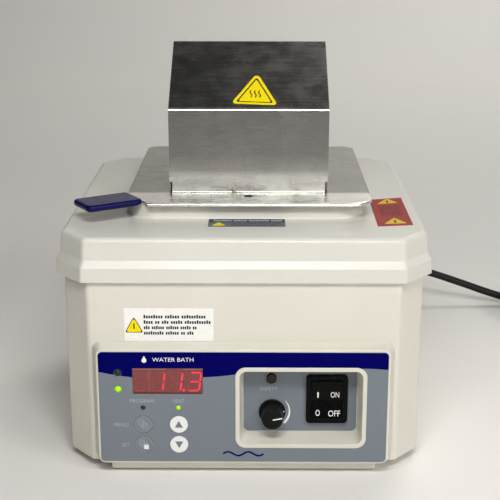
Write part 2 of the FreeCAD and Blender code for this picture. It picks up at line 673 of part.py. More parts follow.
def tank_clamps():
    """Four cleats that press the tank's rim up against the top cover."""
    z1 = TANK_RIM - TANK_STEEL
    cleats = []
    for sx, sy in ((-1, 0), (1, 0), (0, -1), (0, 1)):
        cx = BATH_X + sx * (TANK_HALF_X + 4.9)
        cy = BATH_Y + sy * (TANK_HALF_Y + 4.9)
        wx, wy = (2.4, 12.0) if sx else (12.0, 2.4)
        cleats.append(block(cx - wx, cx + wx, cy - wy, cy + wy, z1 - 2.0, z1))
    return Part.makeCompound(cleats)


def heater_mat():
    z1 = TANK_FLOOR - TANK_STEEL
    mat = raise_z(rect_z(54, 68, BATH_Y, z1 - 2.2, 8), 2.2)
    lead_pad = block(BATH_X - 12, BATH_X + 12, BATH_Y - 10, BATH_Y + 10, z1 - 5, z1 - 2.2)
    return joined([mat, lead_pad])


def insulation():
    """Blanket round the tank's sides, with a pad under the heater."""
    low = TANK_FLOOR - 18
    outer = raise_z(rect_z(TANK_HALF_X + 12, TANK_HALF_Y + 12, BATH_Y, low, 22), 170 - low)
    gap = TANK_STEEL + 0.5
    tank_space = between(tank_loop(gap, TANK_FLOOR - gap, 0), tank_loop(gap, TANK_RIM + 0.5, 1))
    outer = outer.cut(tank_space)
    mat_space = raise_z(rect_z(55, 69, BATH_Y, TANK_FLOOR - 8, 9), 8)
    bulb_x, bulb_y = KNOB[0], WELL_BACK + WELL_WALL + 40
    outer = outer.cut(mat_space)
    outer = outer.cut(block(bulb_x - 4, bulb_x + 4, -100, bulb_y + 4, 90, 175))
    probe = block(PROBE[0] - 5, PROBE[0] + 5, -100, PROBE_TIP, PROBE[1] - 5, PROBE[1] + 5)
    return outer.cut(probe)


def temperature_probe():
    """Sheathed sensor that stands through the front wall of the tank."""
    x, z = PROBE
    sheath = disc_y(PROBE_RADIUS, x, z, PROBE_TIP - 18, PROBE_TIP)
    tip = Part.makeSphere(PROBE_RADIUS, V(x, PROBE_TIP, z))
    collar = disc_y(4.5, x, z, PROBE_TIP - 22, PROBE_TIP - 18)
    return joined([sheath, tip, collar])


def diffuser_tray():
    """Perforated false floor on two legs welded under its long sides."""
    low = TRAY_TOP - TRAY_SHEET
    plate = raise_z(rect_z(TRAY_HALF_X, TRAY_HALF_Y, BATH_Y, low, 10), TRAY_SHEET)
    holes = []
    for i in range(-4, 5):
        for j in range(-5, 6):
            if abs(i) < 2 and abs(j) == 5:
                continue
            x, y = BATH_X + i * TRAY_HOLE_PITCH, BATH_Y + j * TRAY_HOLE_PITCH
            holes.append(disc_z(TRAY_HOLE_RADIUS, x, y, low - 1, TRAY_TOP + 1))
    plate = plate.cut(holes)
    pieces = [plate]
    for side in (-1, 1):
        x0 = BATH_X + side * (TRAY_HALF_X - TRAY_SHEET / 2) - TRAY_SHEET / 2
        pieces.append(block(x0, x0 + TRAY_SHEET, BATH_Y - TRAY_LEG_HALF, BATH_Y + TRAY_LEG_HALF,
                            TANK_FLOOR + REST_GAP, low))
    return Part.makeCompound(pieces)


def tray_lift_wires():
    """Two wire bails that lift the tray."""
    bails = []
    x0, x1 = BATH_X - BAIL_HALF_WIDTH, BATH_X + BAIL_HALF_WIDTH
    low, high = TRAY_TOP, TRAY_TOP + BAIL_HEIGHT
    for side in (-1, 1):
        y = BATH_Y + side * (TRAY_HALF_Y - BAIL_INSET)
        route = [V(x0, y, low), V(x0, y, high), V(x1, y, high), V(x1, y, low)]
        bails.append(swept(route, BAIL_RADIUS)[0])
    return Part.makeCompound(bails)


def inset_profile(points, by):
    """Convex outline in the YZ plane moved inwards, except its first-to-last foot line."""
    moved = []
    count = len(points)
    lines = []
    for i in range(count - 1):
        (y0, z0), (y1, z1) = points[i], points[i + 1]
        length = math.hypot(y1 - y0, z1 - z0)
        ny, nz = (z1 - z0) / length, -(y1 - y0) / length
        lines.append(((y0 + ny * by, z0 + nz * by), (y1 - y0, z1 - z0)))
    moved.append((lines[0][0][0], points[0][1]))
    for (p, d), (q, e) in zip(lines, lines[1:]):
        t = ((q[0] - p[0]) * e[1] - (q[1] - p[1]) * e[0]) / (d[0] * e[1] - d[1] * e[0])
        moved.append((p[0] + d[0] * t, p[1] + d[1] * t))
    moved.append((lines[-1][0][0], points[-1][1]))
    return moved


def gable_prism(profile, x0, x1, radius, foot):
    """Gable-shaped prism with rounded bends, standing on a height."""
    points = [(profile[0][0], foot)] + profile[1:-1] + [(profile[-1][0], foot)]
    corners = [V(x0, y, z) for y, z in points]
    prism = Part.Face(loop(corners)).extrude(X_AXIS * (x1 - x0))
    bends = edges_where(prism, lambda a, b: abs(a.x - b.x) > 0.5 and a.z > foot + 1)
    return prism.makeFillet(radius, bends)


def corner_cut():
    """Everything beyond the sloping cut at the plate's front left corner."""
    beyond = block(0, 60, -60, 60, -20, 20)
    turn = FreeCAD.Rotation(Z_AXIS, GRIP_ANGLE)
    beyond.Placement = FreeCAD.Placement(V(GRIP_ROOT[0], GRIP_ROOT[1], LID_TOP), turn)
    return beyond


def lid_shell():
    """Cover plate with its turned-down rim, front, roof and back, folded from one sheet."""
    top = rect_z(LID_HALF_X, LID_HALF_Y, BATH_Y, LID_TOP - LID_LIP, LID_CORNERS, LID_X)
    outside = raise_z(top, LID_LIP)
    outside = outside.makeFillet(LID_EDGE_BEND, [e for e in outside.Edges if e.BoundBox.ZMin > LID_TOP - 0.01])
    inner_corners = tuple(radius - SHEET for radius in LID_CORNERS)
    under = rect_z(LID_HALF_X - SHEET, LID_HALF_Y - SHEET, BATH_Y, LID_TOP - LID_LIP - 1, inner_corners, LID_X)
    inside = raise_z(under, LID_LIP + 1 - SHEET)
    inner_edges = [e for e in inside.Edges if e.BoundBox.ZMin > LID_TOP - SHEET - 0.01]
    inside = inside.makeFillet(LID_EDGE_BEND - SHEET, inner_edges)
    x0, x1 = LID_X - GABLE_HALF_X, LID_X + GABLE_HALF_X
    outer = gable_prism(GABLE_PROFILE, x0, x1, BEND_RADIUS, LID_TOP - SHEET)
    inner_profile = inset_profile(GABLE_PROFILE, SHEET)
    inner = gable_prism(inner_profile, x0 - 1, x1 + 1, BEND_RADIUS - SHEET, LID_TOP - 5)
    well = inner.common(block(x0 + SHEET, x1 - SHEET, -200, 200, LID_TOP - 5, GABLE_RIDGE))
    strip = outer.cut(inner)
    plate = outside.cut(inside).cut(well)
    shell = joined([plate, strip])
    fold_line = [e for e in shell.Edges if fold_edge(e)]
    shell = shell.makeFillet(1.2, fold_line)
    for slit_x0, slit_x1 in ((x0 - 0.5, x0 + SLIT_INTO_GABLE), (x1 - SLIT_INTO_GABLE, x1 + 0.5)):
        for y in (GABLE_PROFILE[0][0], GABLE_PROFILE[-1][0]):
            slit = block(slit_x0, slit_x1, y - 1.3, y + 1.3, LID_TOP, LID_TOP + SLIT_HEIGHT)
            shell = shell.cut(slit)
    shell = shell.cut(disc_z(LID_HOLE_RADIUS, LID_X, LID_HOLE_Y, LID_TOP - 5, LID_TOP + 5))
    return shell.cut(corner_cut())


def fold_edge(edge):
    """The inside corner where the gable's front or back rises from the plate."""
    box = edge.BoundBox
    level = abs(box.ZMin - LID_TOP) < 0.01 and abs(box.ZMax - LID_TOP) < 0.01
    on_front = abs(box.YMin - GABLE_PROFILE[0][0]) < 0.01 and box.YLength < 0.01
    on_back = abs(box.YMin - GABLE_PROFILE[-1][0]) < 0.01 and box.YLength < 0.01
    return level and (on_front or on_back) and box.XLength > 100


def lid_end(side):
    """End plate of the gable, set into the folded strip."""
    edge = LID_X + side * GABLE_HALF_X
    x0, x1 = (edge - SHEET, edge) if side > 0 else (edge, edge + SHEET)
    profile = inset_profile(GABLE_PROFILE, SHEET)
    plate = gable_prism(profile, x0, x1, BEND_RADIUS - SHEET, LID_TOP)
    for y in (profile[0][0], profile[-1][0]):
        plate = plate.cut(block(x0 - 1, x1 + 1, y - 1.2, y + 1.2, LID_TOP - 1, LID_TOP + SLIT_HEIGHT))
    return plate


def on_handle(shape):
    """Moves a shape drawn along +X from the origin to the handle's place and direction."""
    shape.Placement = FreeCAD.Placement(
        V(GRIP_ROOT[0], GRIP_ROOT[1], LID_TOP - SHEET / 2), FreeCAD.Rotation(Z_AXIS, GRIP_ANGLE))
    return shape


def tongue(length):
    return block(0, length, -TAB_HALF_WIDTH, TAB_HALF_WIDTH, -SHEET / 2, SHEET / 2)


def lid_handle_tab():
    """Steel tongue that carries the grip."""
    return on_handle(tongue(GRIP_GAP + GRIP_LENGTH - TAB_SHORT))


def lid_handle_grip():
    """Dipped vinyl grip over the tongue."""
    x0, x1 = GRIP_GAP, GRIP_GAP + GRIP_LENGTH
    half = GRIP_WIDTH / 2
    grip = block(x0, x1, -half, half, -GRIP_THICK / 2, GRIP_THICK / 2)
    grip = grip.makeFillet(4.0, edges_where(grip, lambda a, b: abs(a.z - b.z) > 1))
    grip = grip.makeFillet(2.2, [e for e in grip.Edges if e.BoundBox.ZLength < 0.01])
    level, low = -SHEET / 2, -GRIP_THICK
    start, end = GRIP_RELIEF
    wedge = [V(-1, -half, low), V(end + 1, -half, low), V(end, -half, -GRIP_THICK / 2),
             V(start, -half, level), V(-1, -half, level)]
    grip = grip.cut(Part.Face(loop(wedge)).extrude(Y_AXIS * GRIP_WIDTH))
    return on_handle(grip.cut(tongue(x1 - TAB_SHORT)))


def gable_label():
    """Triangular sticker on the front slope of the gable."""
    (y0, z0), (y1, z1) = GABLE_PROFILE[1], GABLE_PROFILE[2]
    slope = math.atan2(z1 - z0, y1 - y0)
    width, height = GABLE_LABEL
    points = [V(-width / 2, 0, 0), V(width / 2, 0, 0), V(0, height, 0)]
    label = raise_z(loop(points, GABLE_LABEL_ROUND), LABEL_THICK)
    up = GABLE_LABEL_UP
    place = V(GABLE_LABEL_X, y0 + up * math.cos(slope), z0 + up * math.sin(slope))
    turn = FreeCAD.Rotation(X_AXIS, math.degrees(slope)) * FreeCAD.Rotation(Z_AXIS, GABLE_LABEL_TURN)
    label.Placement = FreeCAD.Placement(place, turn)
    return label


def front_label():
    (x0, x1), (z0, z1) = FRONT_LABEL
    return block(x0, x1, BODY_FRONT - LABEL_THICK, BODY_FRONT, z0, z1)


def on_deck(corners):
    """Sticker lying on the top cover."""
    return raise_z(loop([V(x, y, DECK) for x, y in corners]), LABEL_THICK)


def standoffs():
    """Posts under the control board."""
    posts = []
    for x in (-70.0, 20.0):
        for y in (-98.0, -42.0):
            posts.append(disc_z(3.0, x, y, BASE_INSIDE, BOARD_TOP - BOARD_THICK))
    return Part.makeCompound(posts)


def control_board():
    board = block(-76, 26, -103, -37, BOARD_TOP - BOARD_THICK, BOARD_TOP)
    parts = [board]
    parts.append(block(-70, -50, -85, -70, BOARD_TOP, BOARD_TOP + 16))
    parts.append(block(-44, -26, -85, -70, BOARD_TOP, BOARD_TOP + 11))
    parts.append(block(-20, 10, -98, -90, BOARD_TOP, BOARD_TOP + 9))
    parts.append(block(-15, 5, -70, -50, BOARD_TOP, BOARD_TOP + 3))
    for x in (-64.0, -50.0, -36.0):
        parts.append(disc_z(5.0, x, -52, BOARD_TOP, BOARD_TOP + 18))
    return joined(parts)


def transformer():
    core = block(-62, -14, 40, 78, BASE_INSIDE, 44)
    core = core.makeChamfer(2.0, edges_where(core, lambda a, b: abs(a.z - b.z) > 5))
    bobbin = block(-54, -22, 32, 86, 13, 36)
    feet = block(-66, -10, 50, 68, BASE_INSIDE, BASE_INSIDE + 2)
    return joined([core, bobbin, feet])


def triac_heat_sink():
    base = block(48, 78, -60, 0, BASE_INSIDE, BASE_INSIDE + 4)
    fins = [block(48 + 5.6 * i, 50 + 5.6 * i, -60, 0, BASE_INSIDE + 4, 36) for i in range(6)]
    device = block(56, 66, 0, 4.5, BASE_INSIDE + 1.5, 24)
    return joined([base] + fins + [device])


def terminal_block():
    body = block(40, 78, 70, 92, BASE_INSIDE, 22)
    for i in range(3):
        x = 47 + 12 * i
        body = body.cut(disc_z(2.5, x, 81, 14, 23))
        body = body.cut(disc_y(2.0, x, 10, 88, 93))
    return body


def mains_wiring():
    """Three leads from the terminal block to the switch, side by side."""
    leads = []
    for i in range(3):
        x = 47.0 + 12 * i
        s = SWITCH[0] - 6.0 + 6 * i
        route = [V(x, 69.5, 12), V(x, 56, 12), V(x + 2, 40, 16), V(85 + 3 * i, 20, 26), V(85 + 3 * i, -30, 34),
                 V(84 + 3 * i, -70, 40), V(76 + 3 * i, -88, 44)]
        leads.append(swept(route, 1.2)[0])
    return Part.makeCompound(leads)


def swept(points, radius):
    """Round tube along straight runs joined by tangent arcs. Returns it, its length and its arc radii."""
    edges = []
    radii = []
    here = points[0]
    for i in range(1, len(points) - 1):
        corner = points[i]
        back = (points[i - 1] - corner)
        ahead = (points[i + 1] - corner)
        turn = math.pi - back.getAngle(ahead)
        setback = 0.45 * min(back.Length, ahead.Length)
        bend = setback / math.tan(turn / 2)
        radii.append(bend)
        back.normalize()
        ahead.normalize()
        start = corner + back * setback
        end = corner + ahead * setback
        to_centre = (back + ahead).normalize()
        middle = corner + to_centre * (bend / math.cos(turn / 2) - bend)
        edges.append(Part.LineSegment(here, start).toShape())
        edges.append(Part.Arc(start, middle, end).toShape())
        here = end
    edges.append(Part.LineSegment(here, points[-1]).toShape())
    path = Part.Wire(edges)
    along = (points[1] - points[0]).normalize()
    ring = Part.Wire([Part.Circle(points[0], along, radius).toShape()])
    tube = path.makePipeShell([ring], True, False)
    expected = math.pi * radius ** 2 * path.Length
    if abs(tube.Volume - expected) > 0.01 * expected:
        print("tube volume differs:", tube.Volume, expected)
    return tube, path.Length, radii


def strain_relief():
    """Tapered sleeve with a collar inside the wall."""
    x, z = CORD_EXIT
    collar = disc_y(7.6, x, z, BODY_BACK - WALL - 2.5, BODY_BACK - WALL)
    neck = disc_y(6.1, x, z, BODY_BACK - WALL, BODY_BACK)
    flange = disc_y(8.2, x, z, BODY_BACK, BODY_BACK + 3)
    taper = Part.makeCone(6.4, 4.5, RELIEF_LENGTH - 3, V(x, BODY_BACK + 3, z), Y_AXIS)
    sleeve = joined([collar, neck, flange, taper])
    for i in range(5):
        y = BODY_BACK + 9 + 5.2 * i
        groove = disc_y(9, x, z, y, y + 1.6).cut(disc_y(5.6 - 0.25 * i, x, z, y - 1, y + 3))
        sleeve = sleeve.cut(groove)
    return sleeve


def power_cord():
    tube, length, radii = swept([V(*p) for p in CORD_ROUTE], CORD_RADIUS)
    print("power_cord length %.0f, arc radii %s" % (length, [round(r) for r in radii]))
    return tube


def cord_coil():
    x, y = COIL_CENTRE
    return disc_z(COIL_OUTER, x, y, 0.0, COIL_HEIGHT).cut(disc_z(COIL_INNER, x, y, -1, COIL_HEIGHT + 1))


def cord_tail():
    tube, length, radii = swept([V(*p) for p in TAIL_ROUTE], CORD_RADIUS)
    print("cord_tail length %.0f, arc radii %s" % (length, [round(r) for r in radii]))
    return tube


def power_plug():
    """Moulded plug body, tapered towards the lead, lying along -Y."""
    x, y1, z = TAIL_ROUTE[-1]
    taper = Part.makeCone(5.2, 8.0, 18, V(x, y1, z), Y_AXIS * -1)
    y0 = y1 - PLUG_LENGTH
    head = block(x - 13.5, x + 13.5, y0, y0 + 28, 0.2, 25.2)
    head = head.makeFillet(4.0, edges_where(head, lambda a, b: abs(a.y - b.y) > 5))
    head = head.makeFillet(1.5, [e for e in head.Edges if e.BoundBox.YLength < 0.01])
    return joined([head, taper])


def plug_pins():
    """Two flat blades and a round earth pin."""
    x, y1, z = TAIL_ROUTE[-1]
    y0 = y1 - PLUG_LENGTH
    blades = [block(x + s - 0.75, x + s + 0.75, y0 - 17, y0, z - 2.2, z + 4.2) for s in (-6.35, 6.35)]
    earth = Part.makeCylinder(2.4, 20, V(x, y0 - 20, z - 7.6), Y_AXIS)
    return Part.makeCompound(blades + [earth])


def all_nodes():
    """Every node's name and shape."""
    nodes = {
        "lower_housing": lower_housing(),
        "top_cover": top_cover(),
        "base_plate": base_plate(),
        "base_screws": base_screws(),
        "control_bezel": control_bezel(),
        "panel_film": panel_film(),
        "well_film": well_film(),
        "display_window": display_window(),
        "display_module": display_module(),
        "display_board": display_board(),
        "safety_lamp": safety_lamp(),
        "safety_knob": safety_knob(),
        "knob_pointer": knob_pointer(),
        "thermostat_shaft": thermostat_shaft(),
        "safety_thermostat": safety_thermostat(),
        "thermostat_capillary": thermostat_capillary(),
        "switch_housing": switch_housing(),
        "rocker_paddle": rocker_paddle(),
        "switch_terminals": switch_terminals(),
        "tank": tank(),
        "tank_gasket": tank_gasket(),
        "tank_clamps": tank_clamps(),
        "heater_mat": heater_mat(),
        "insulation": insulation(),
        "temperature_probe": temperature_probe(),
        "diffuser_tray": diffuser_tray(),
        "tray_lift_wires": tray_lift_wires(),
        "lid_shell": lid_shell(),
        "lid_end_left": lid_end(-1),
        "lid_end_right": lid_end(1),
        "lid_handle_tab": lid_handle_tab(),
        "lid_handle_grip": lid_handle_grip(),
        "gable_label": gable_label(),
        "front_label": front_label(),
        "deck_label": on_deck(DECK_LABEL),
        "corner_label": on_deck(CORNER_LABEL),
        "board_standoffs": standoffs(),
        "control_board": control_board(),
        "transformer": transformer(),
        "triac_heat_sink": triac_heat_sink(),
        "terminal_block": terminal_block(),
        "mains_wiring": mains_wiring(),
        "strain_relief": strain_relief(),
        "power_cord": power_cord(),
        "cord_coil": cord_coil(),
        "cord_tail": cord_tail(),
        "power_plug": power_plug(),
        "plug_pins": plug_pins(),
    }
    for name, (x, y) in zip(("front_left", "front_right", "back_left", "back_right"), foot_places()):
        nodes["foot_" + name] = foot(x, y)
    for name, z in zip(("upper", "lower"), LED_Z):
        nodes["status_lamp_" + name] = dome_lamp(LED_RADIUS, LED_X, z, LED_PROUD)
    for name, x in zip(("program", "heat"), INDICATOR_X):
        nodes[name + "_indicator"] = dome_lamp(INDICATOR_RADIUS, x, INDICATOR_Z, INDICATOR_PROUD)
    key_names = {(0, 0): "menu_key", (0, 1): "set_key", (1, 0): "up_key", (1, 1): "down_key"}
    for (i, j), name in key_names.items():
        nodes[name] = key(KEY_X[i], KEY_Z[j])
    return nodes


def main():
    os.makedirs("parts", exist_ok=True)
    for name, shape in all_nodes().items():
        if not shape.isValid():
            print("not valid:", name)
        shape.exportStep("parts/" + name + ".step")


main()
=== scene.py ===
"""Looks of the laboratory water bath: finishes, prints, display, mains lead, floor, lights and camera.

Lengths are written in millimetres and turned into metres by MM.
"""
import bpy
import math
from mathutils import Matrix, Vector


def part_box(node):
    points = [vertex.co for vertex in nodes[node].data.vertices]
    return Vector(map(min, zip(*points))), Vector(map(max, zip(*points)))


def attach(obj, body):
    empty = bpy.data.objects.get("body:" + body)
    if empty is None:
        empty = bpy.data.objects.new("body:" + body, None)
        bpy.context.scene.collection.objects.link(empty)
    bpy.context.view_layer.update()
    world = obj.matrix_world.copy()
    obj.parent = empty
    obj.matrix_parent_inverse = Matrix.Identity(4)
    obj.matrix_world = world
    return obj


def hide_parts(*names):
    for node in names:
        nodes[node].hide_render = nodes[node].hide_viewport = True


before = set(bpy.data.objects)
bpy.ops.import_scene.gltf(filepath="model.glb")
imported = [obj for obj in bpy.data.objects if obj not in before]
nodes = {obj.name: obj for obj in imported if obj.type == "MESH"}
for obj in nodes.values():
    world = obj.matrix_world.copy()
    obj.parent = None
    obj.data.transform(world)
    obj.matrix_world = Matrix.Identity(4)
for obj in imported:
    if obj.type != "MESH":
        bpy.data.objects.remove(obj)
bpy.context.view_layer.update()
MM = 0.001


def srgb(red, green, blue):
    """Linear colour of a screen colour given as 0 to 255."""
    def linear(value):
        value /= 255
        return value / 12.92 if value < 0.04045 else ((value + 0.055) / 1.055) ** 2.4
    return (linear(red), linear(green), linear(blue), 1.0)


def shade(color, by):
    """The colour made lighter or darker by a factor."""
    return tuple(min(1.0, part * by) for part in color[:3]) + (1.0,)


# Colours of the surfaces and of the inks
CREAM = srgb(222, 218, 207)
COVER = srgb(218, 216, 207)
BEZEL = srgb(219, 217, 204)
FILM_GREY = srgb(120, 128, 136)
NAVY = srgb(1, 1, 90)
WHITE_INK = srgb(240, 240, 238)
PALE_INK = srgb(172, 177, 182)
DARK_INK = srgb(38, 38, 42)
YELLOW_INK = srgb(250, 226, 10)
AMBER_INK = srgb(226, 190, 40)


class Finish:
    """One node material. Its vectors are in millimetres of the object's own space."""

    def __init__(self, name, color, roughness, **sockets):
        self.material = bpy.data.materials.new(name)
        self.material.use_nodes = True
        self.tree = self.material.node_tree
        self.shader = self.tree.nodes["Principled BSDF"]
        self.shader.inputs["Base Color"].default_value = color
        self.shader.inputs["Roughness"].default_value = roughness
        for socket, value in sockets.items():
            self.shader.inputs[socket.replace("_", " ")].default_value = value
        self.color = color
        self.rough = roughness
        place = self.add("ShaderNodeTexCoord")
        scaled = self.add("ShaderNodeVectorMath", {0: place.outputs["Object"], "Scale": 1 / MM},
                          operation="SCALE")
        self.at = scaled.outputs[0]

    def add(self, kind, inputs=None, **properties):
        """A new node. inputs maps a socket's name or number to a value or to another node's output."""
        node = self.tree.nodes.new(kind)
        for name, value in properties.items():
            setattr(node, name, value)
        for key, value in (inputs or {}).items():
            if isinstance(value, bpy.types.NodeSocket):
                self.tree.links.new(value, node.inputs[key])
            else:
                node.inputs[key].default_value = value
        return node

    def noise(self, size, detail=2.0, stretch=(1, 1, 1)):
        """Noise whose features are about size millimetres, drawn out along an axis with a stretch under 1."""
        factor = [part / size for part in stretch]
        where = self.add("ShaderNodeVectorMath", {0: self.at, 1: factor}, operation="MULTIPLY")
        noise = self.add("ShaderNodeTexNoise", {"Vector": where.outputs[0], "Scale": 1.0, "Detail": detail})
        return noise.outputs[0]

    def cells(self, size):
        """Rounded pebbles about size millimetres across."""
        cells = self.add("ShaderNodeTexVoronoi", {"Vector": self.at, "Scale": 1 / size}, feature="SMOOTH_F1")
        return cells.outputs["Distance"]

    def near(self, centre, radius):
        """1 at a point, falling to 0 at a distance from it."""
        away = self.add("ShaderNodeVectorMath", {0: self.at, 1: centre}, operation="DISTANCE")
        return self.remap(away.outputs["Value"], 0.0, radius, 1.0, 0.0)

    def remap(self, value, low, high, new_low, new_high):
        """A value stretched from one range to another, and kept inside it."""
        sockets = {"Value": value, "From Min": low, "From Max": high, "To Min": new_low, "To Max": new_high}
        return self.add("ShaderNodeMapRange", sockets).outputs[0]

    def math(self, operation, first, second):
        """The result of one operation on two values."""
        return self.add("ShaderNodeMath", {0: first, 1: second}, operation=operation).outputs[0]

    def paint(self, share, color):
        """Covers what the base colour is so far with another colour, by a share from 0 to 1."""
        base = self.shader.inputs["Base Color"]
        below = base.links[0].from_socket if base.links else self.color
        mixed = self.add("ShaderNodeMix", {0: share, 6: below, 7: color}, data_type="RGBA")
        self.tree.links.new(mixed.outputs[2], base)

    def vary(self, size, by, stretch=(1, 1, 1)):
        """Uneven colour: patches of a size, darker than the base by a fraction."""
        share = self.remap(self.noise(size, 3.0, stretch), 0.3, 0.7, 0.0, 1.0)
        self.paint(share, shade(self.color, 1 - by))

    def roughen(self, value, spread):
        """Uneven roughness, from a noise value, spread either way."""
        result = self.remap(value, 0.3, 0.7, max(0.02, self.rough - spread), min(1.0, self.rough + spread))
        self.tree.links.new(result, self.shader.inputs["Roughness"])

    def bump(self, height, depth, strength=1.0):
        """Relief: a height from 0 to 1 stands for a depth in millimetres. Reliefs add up."""
        normal = self.shader.inputs["Normal"]
        sockets = {"Height": height, "Distance": depth * MM, "Strength": strength}
        if normal.links:
            sockets["Normal"] = normal.links[0].from_socket
        relief = self.add("ShaderNodeBump", sockets)
        self.tree.links.new(relief.outputs[0], normal)


def moulded(name, color, roughness, grain, depth, mottle=0.03, **sockets):
    """Moulded plastic with a fine grain, and slight unevenness of colour and gloss."""
    finish = Finish(name, color, roughness, **sockets)
    finish.vary(45.0, mottle)
    finish.roughen(finish.noise(14.0, 3.0), 0.05)
    finish.bump(finish.noise(grain, 2.0), depth)
    return finish.material


def pebbled(name, color):
    """Top cover: coarse pebbled grain that breaks up the highlights."""
    finish = Finish(name, color, 0.3)
    finish.vary(60.0, 0.03)
    finish.roughen(finish.noise(20.0, 3.0), 0.015)
    finish.bump(finish.cells(1.7), 0.09)
    finish.bump(finish.noise(0.8, 1.0), 0.03)
    return finish.material


def brushed(name, color, roughness, grain, smudge=0.16):
    """Brushed sheet steel: fine lines along an axis, with finger marks and matt patches."""
    finish = Finish(name, color, roughness, Metallic=1.0)
    finish.vary(26.0, smudge)
    lines = finish.noise(0.55, 3.0, grain)
    wide_lines = finish.noise(3.0, 2.0, grain)
    patches = finish.noise(17.0, 4.0)
    both = finish.add("ShaderNodeMath", {0: lines, 1: 0.45, 2: finish.math("MULTIPLY", patches, 0.55)},
                      operation="MULTIPLY_ADD")
    finish.roughen(both.outputs[0], 0.1)
    finish.bump(lines, 0.006)
    finish.bump(wide_lines, 0.008)
    return finish


def plain_metal(name, color, roughness):
    """Drawn or plated metal with a faint unevenness."""
    finish = Finish(name, color, roughness, Metallic=1.0)
    finish.vary(9.0, 0.1)
    finish.roughen(finish.noise(2.5, 3.0), 0.08)
    finish.bump(finish.noise(0.8, 2.0), 0.01)
    return finish.material


def rubber(name, color, roughness, grain):
    """Rubber or soft PVC, with a matt bloom in patches."""
    finish = Finish(name, color, roughness, Specular_IOR_Level=0.3)
    finish.vary(12.0, 0.25)
    finish.roughen(finish.noise(5.0, 3.0), 0.1)
    finish.bump(finish.noise(grain, 2.0), 0.02)
    return finish.material


def blanket():
    """Glass fibre blanket: matted fibres."""
    finish = Finish("blanket", srgb(225, 220, 200), 0.95, Sheen_Weight=0.3)
    finish.vary(6.0, 0.2)
    finish.bump(finish.noise(1.2, 5.0, (1, 1, 0.2)), 0.5)
    return finish.material


def vinyl():
    """Dipped vinyl grip: glossy navy skin, slightly wavy."""
    finish = Finish("blue_vinyl", srgb(2, 2, 74), 0.2, Specular_IOR_Level=0.2)
    finish.vary(10.0, 0.12)
    finish.roughen(finish.noise(4.0, 3.0), 0.06)
    finish.bump(finish.noise(6.0, 1.0), 0.05)
    return finish.material


def lamp(name, color, glow, strength):
    """Lens of a lamp, brighter in the middle when it is lit."""
    finish = Finish(name, color, 0.18, Specular_IOR_Level=0.35)
    finish.vary(1.2, 0.3)
    if glow:
        finish.shader.inputs["Emission Strength"].default_value = strength
        facing = finish.add("ShaderNodeLayerWeight", {"Blend": 0.45}).outputs["Facing"]
        mixed = finish.add("ShaderNodeMix", {0: facing, 6: glow, 7: shade(glow, 0.12)}, data_type="RGBA")
        finish.tree.links.new(mixed.outputs[2], finish.shader.inputs["Emission Color"])
    return finish.material


def ink(name, color, roughness=0.45, gloss=0.12):
    """Screen-printed ink: a slightly uneven, matt film."""
    finish = Finish(name, color, roughness, Specular_IOR_Level=gloss)
    finish.vary(3.0, 0.06)
    finish.roughen(finish.noise(1.5, 2.0), 0.06)
    finish.bump(finish.noise(0.4, 1.0), 0.004)
    return finish.material


def filter_glass():
    """Dark red filter over the display, a little brighter where the digits' housing shows through."""
    finish = Finish("red_filter", srgb(122, 50, 50), 0.22, Coat_Weight=0.5, Coat_Roughness=0.1)
    finish.vary(4.0, 0.2)
    finish.roughen(finish.noise(6.0, 2.0), 0.04)
    return finish.material


def solder_mask():
    """Circuit board: green mask with a faint pattern of tracks."""
    finish = Finish("circuit_board", srgb(30, 110, 60), 0.35)
    tracks = finish.add("ShaderNodeTexBrick", {"Vector": finish.at, "Scale": 0.3, "Color1": srgb(30, 110, 60),
                                               "Color2": srgb(36, 120, 66), "Mortar": srgb(70, 150, 80)})
    finish.tree.links.new(tracks.outputs["Color"], finish.shader.inputs["Base Color"])
    return finish.material


ALONG_X = (0.012, 1, 1)
ALONG_Y = (1, 0.012, 1)
STEEL = srgb(170, 169, 165)


# Heights and places on the cover where painted shade, a painted reflection and a painted highlight go on its
# steel, and where its stain sits, each from where a change starts to where it ends
LIP_PAINTED_SHADE = (185.55, 185.78)
FOOT_PAINTED_REFLECTION = (203.0, 198.0)
FOOT_FRONT = (-46.0, -52.0)
GABLE_PAINTED_SHADE = (203.0, 215.0)
SLOPE_START = (249.0, 250.0)
BEND_START = (247.6, 248.4)
BEND_END = (249.4, 250.2)
STAIN_PLACE, STAIN_RADIUS = (-8.0, -50.0, 186.5), 9.0


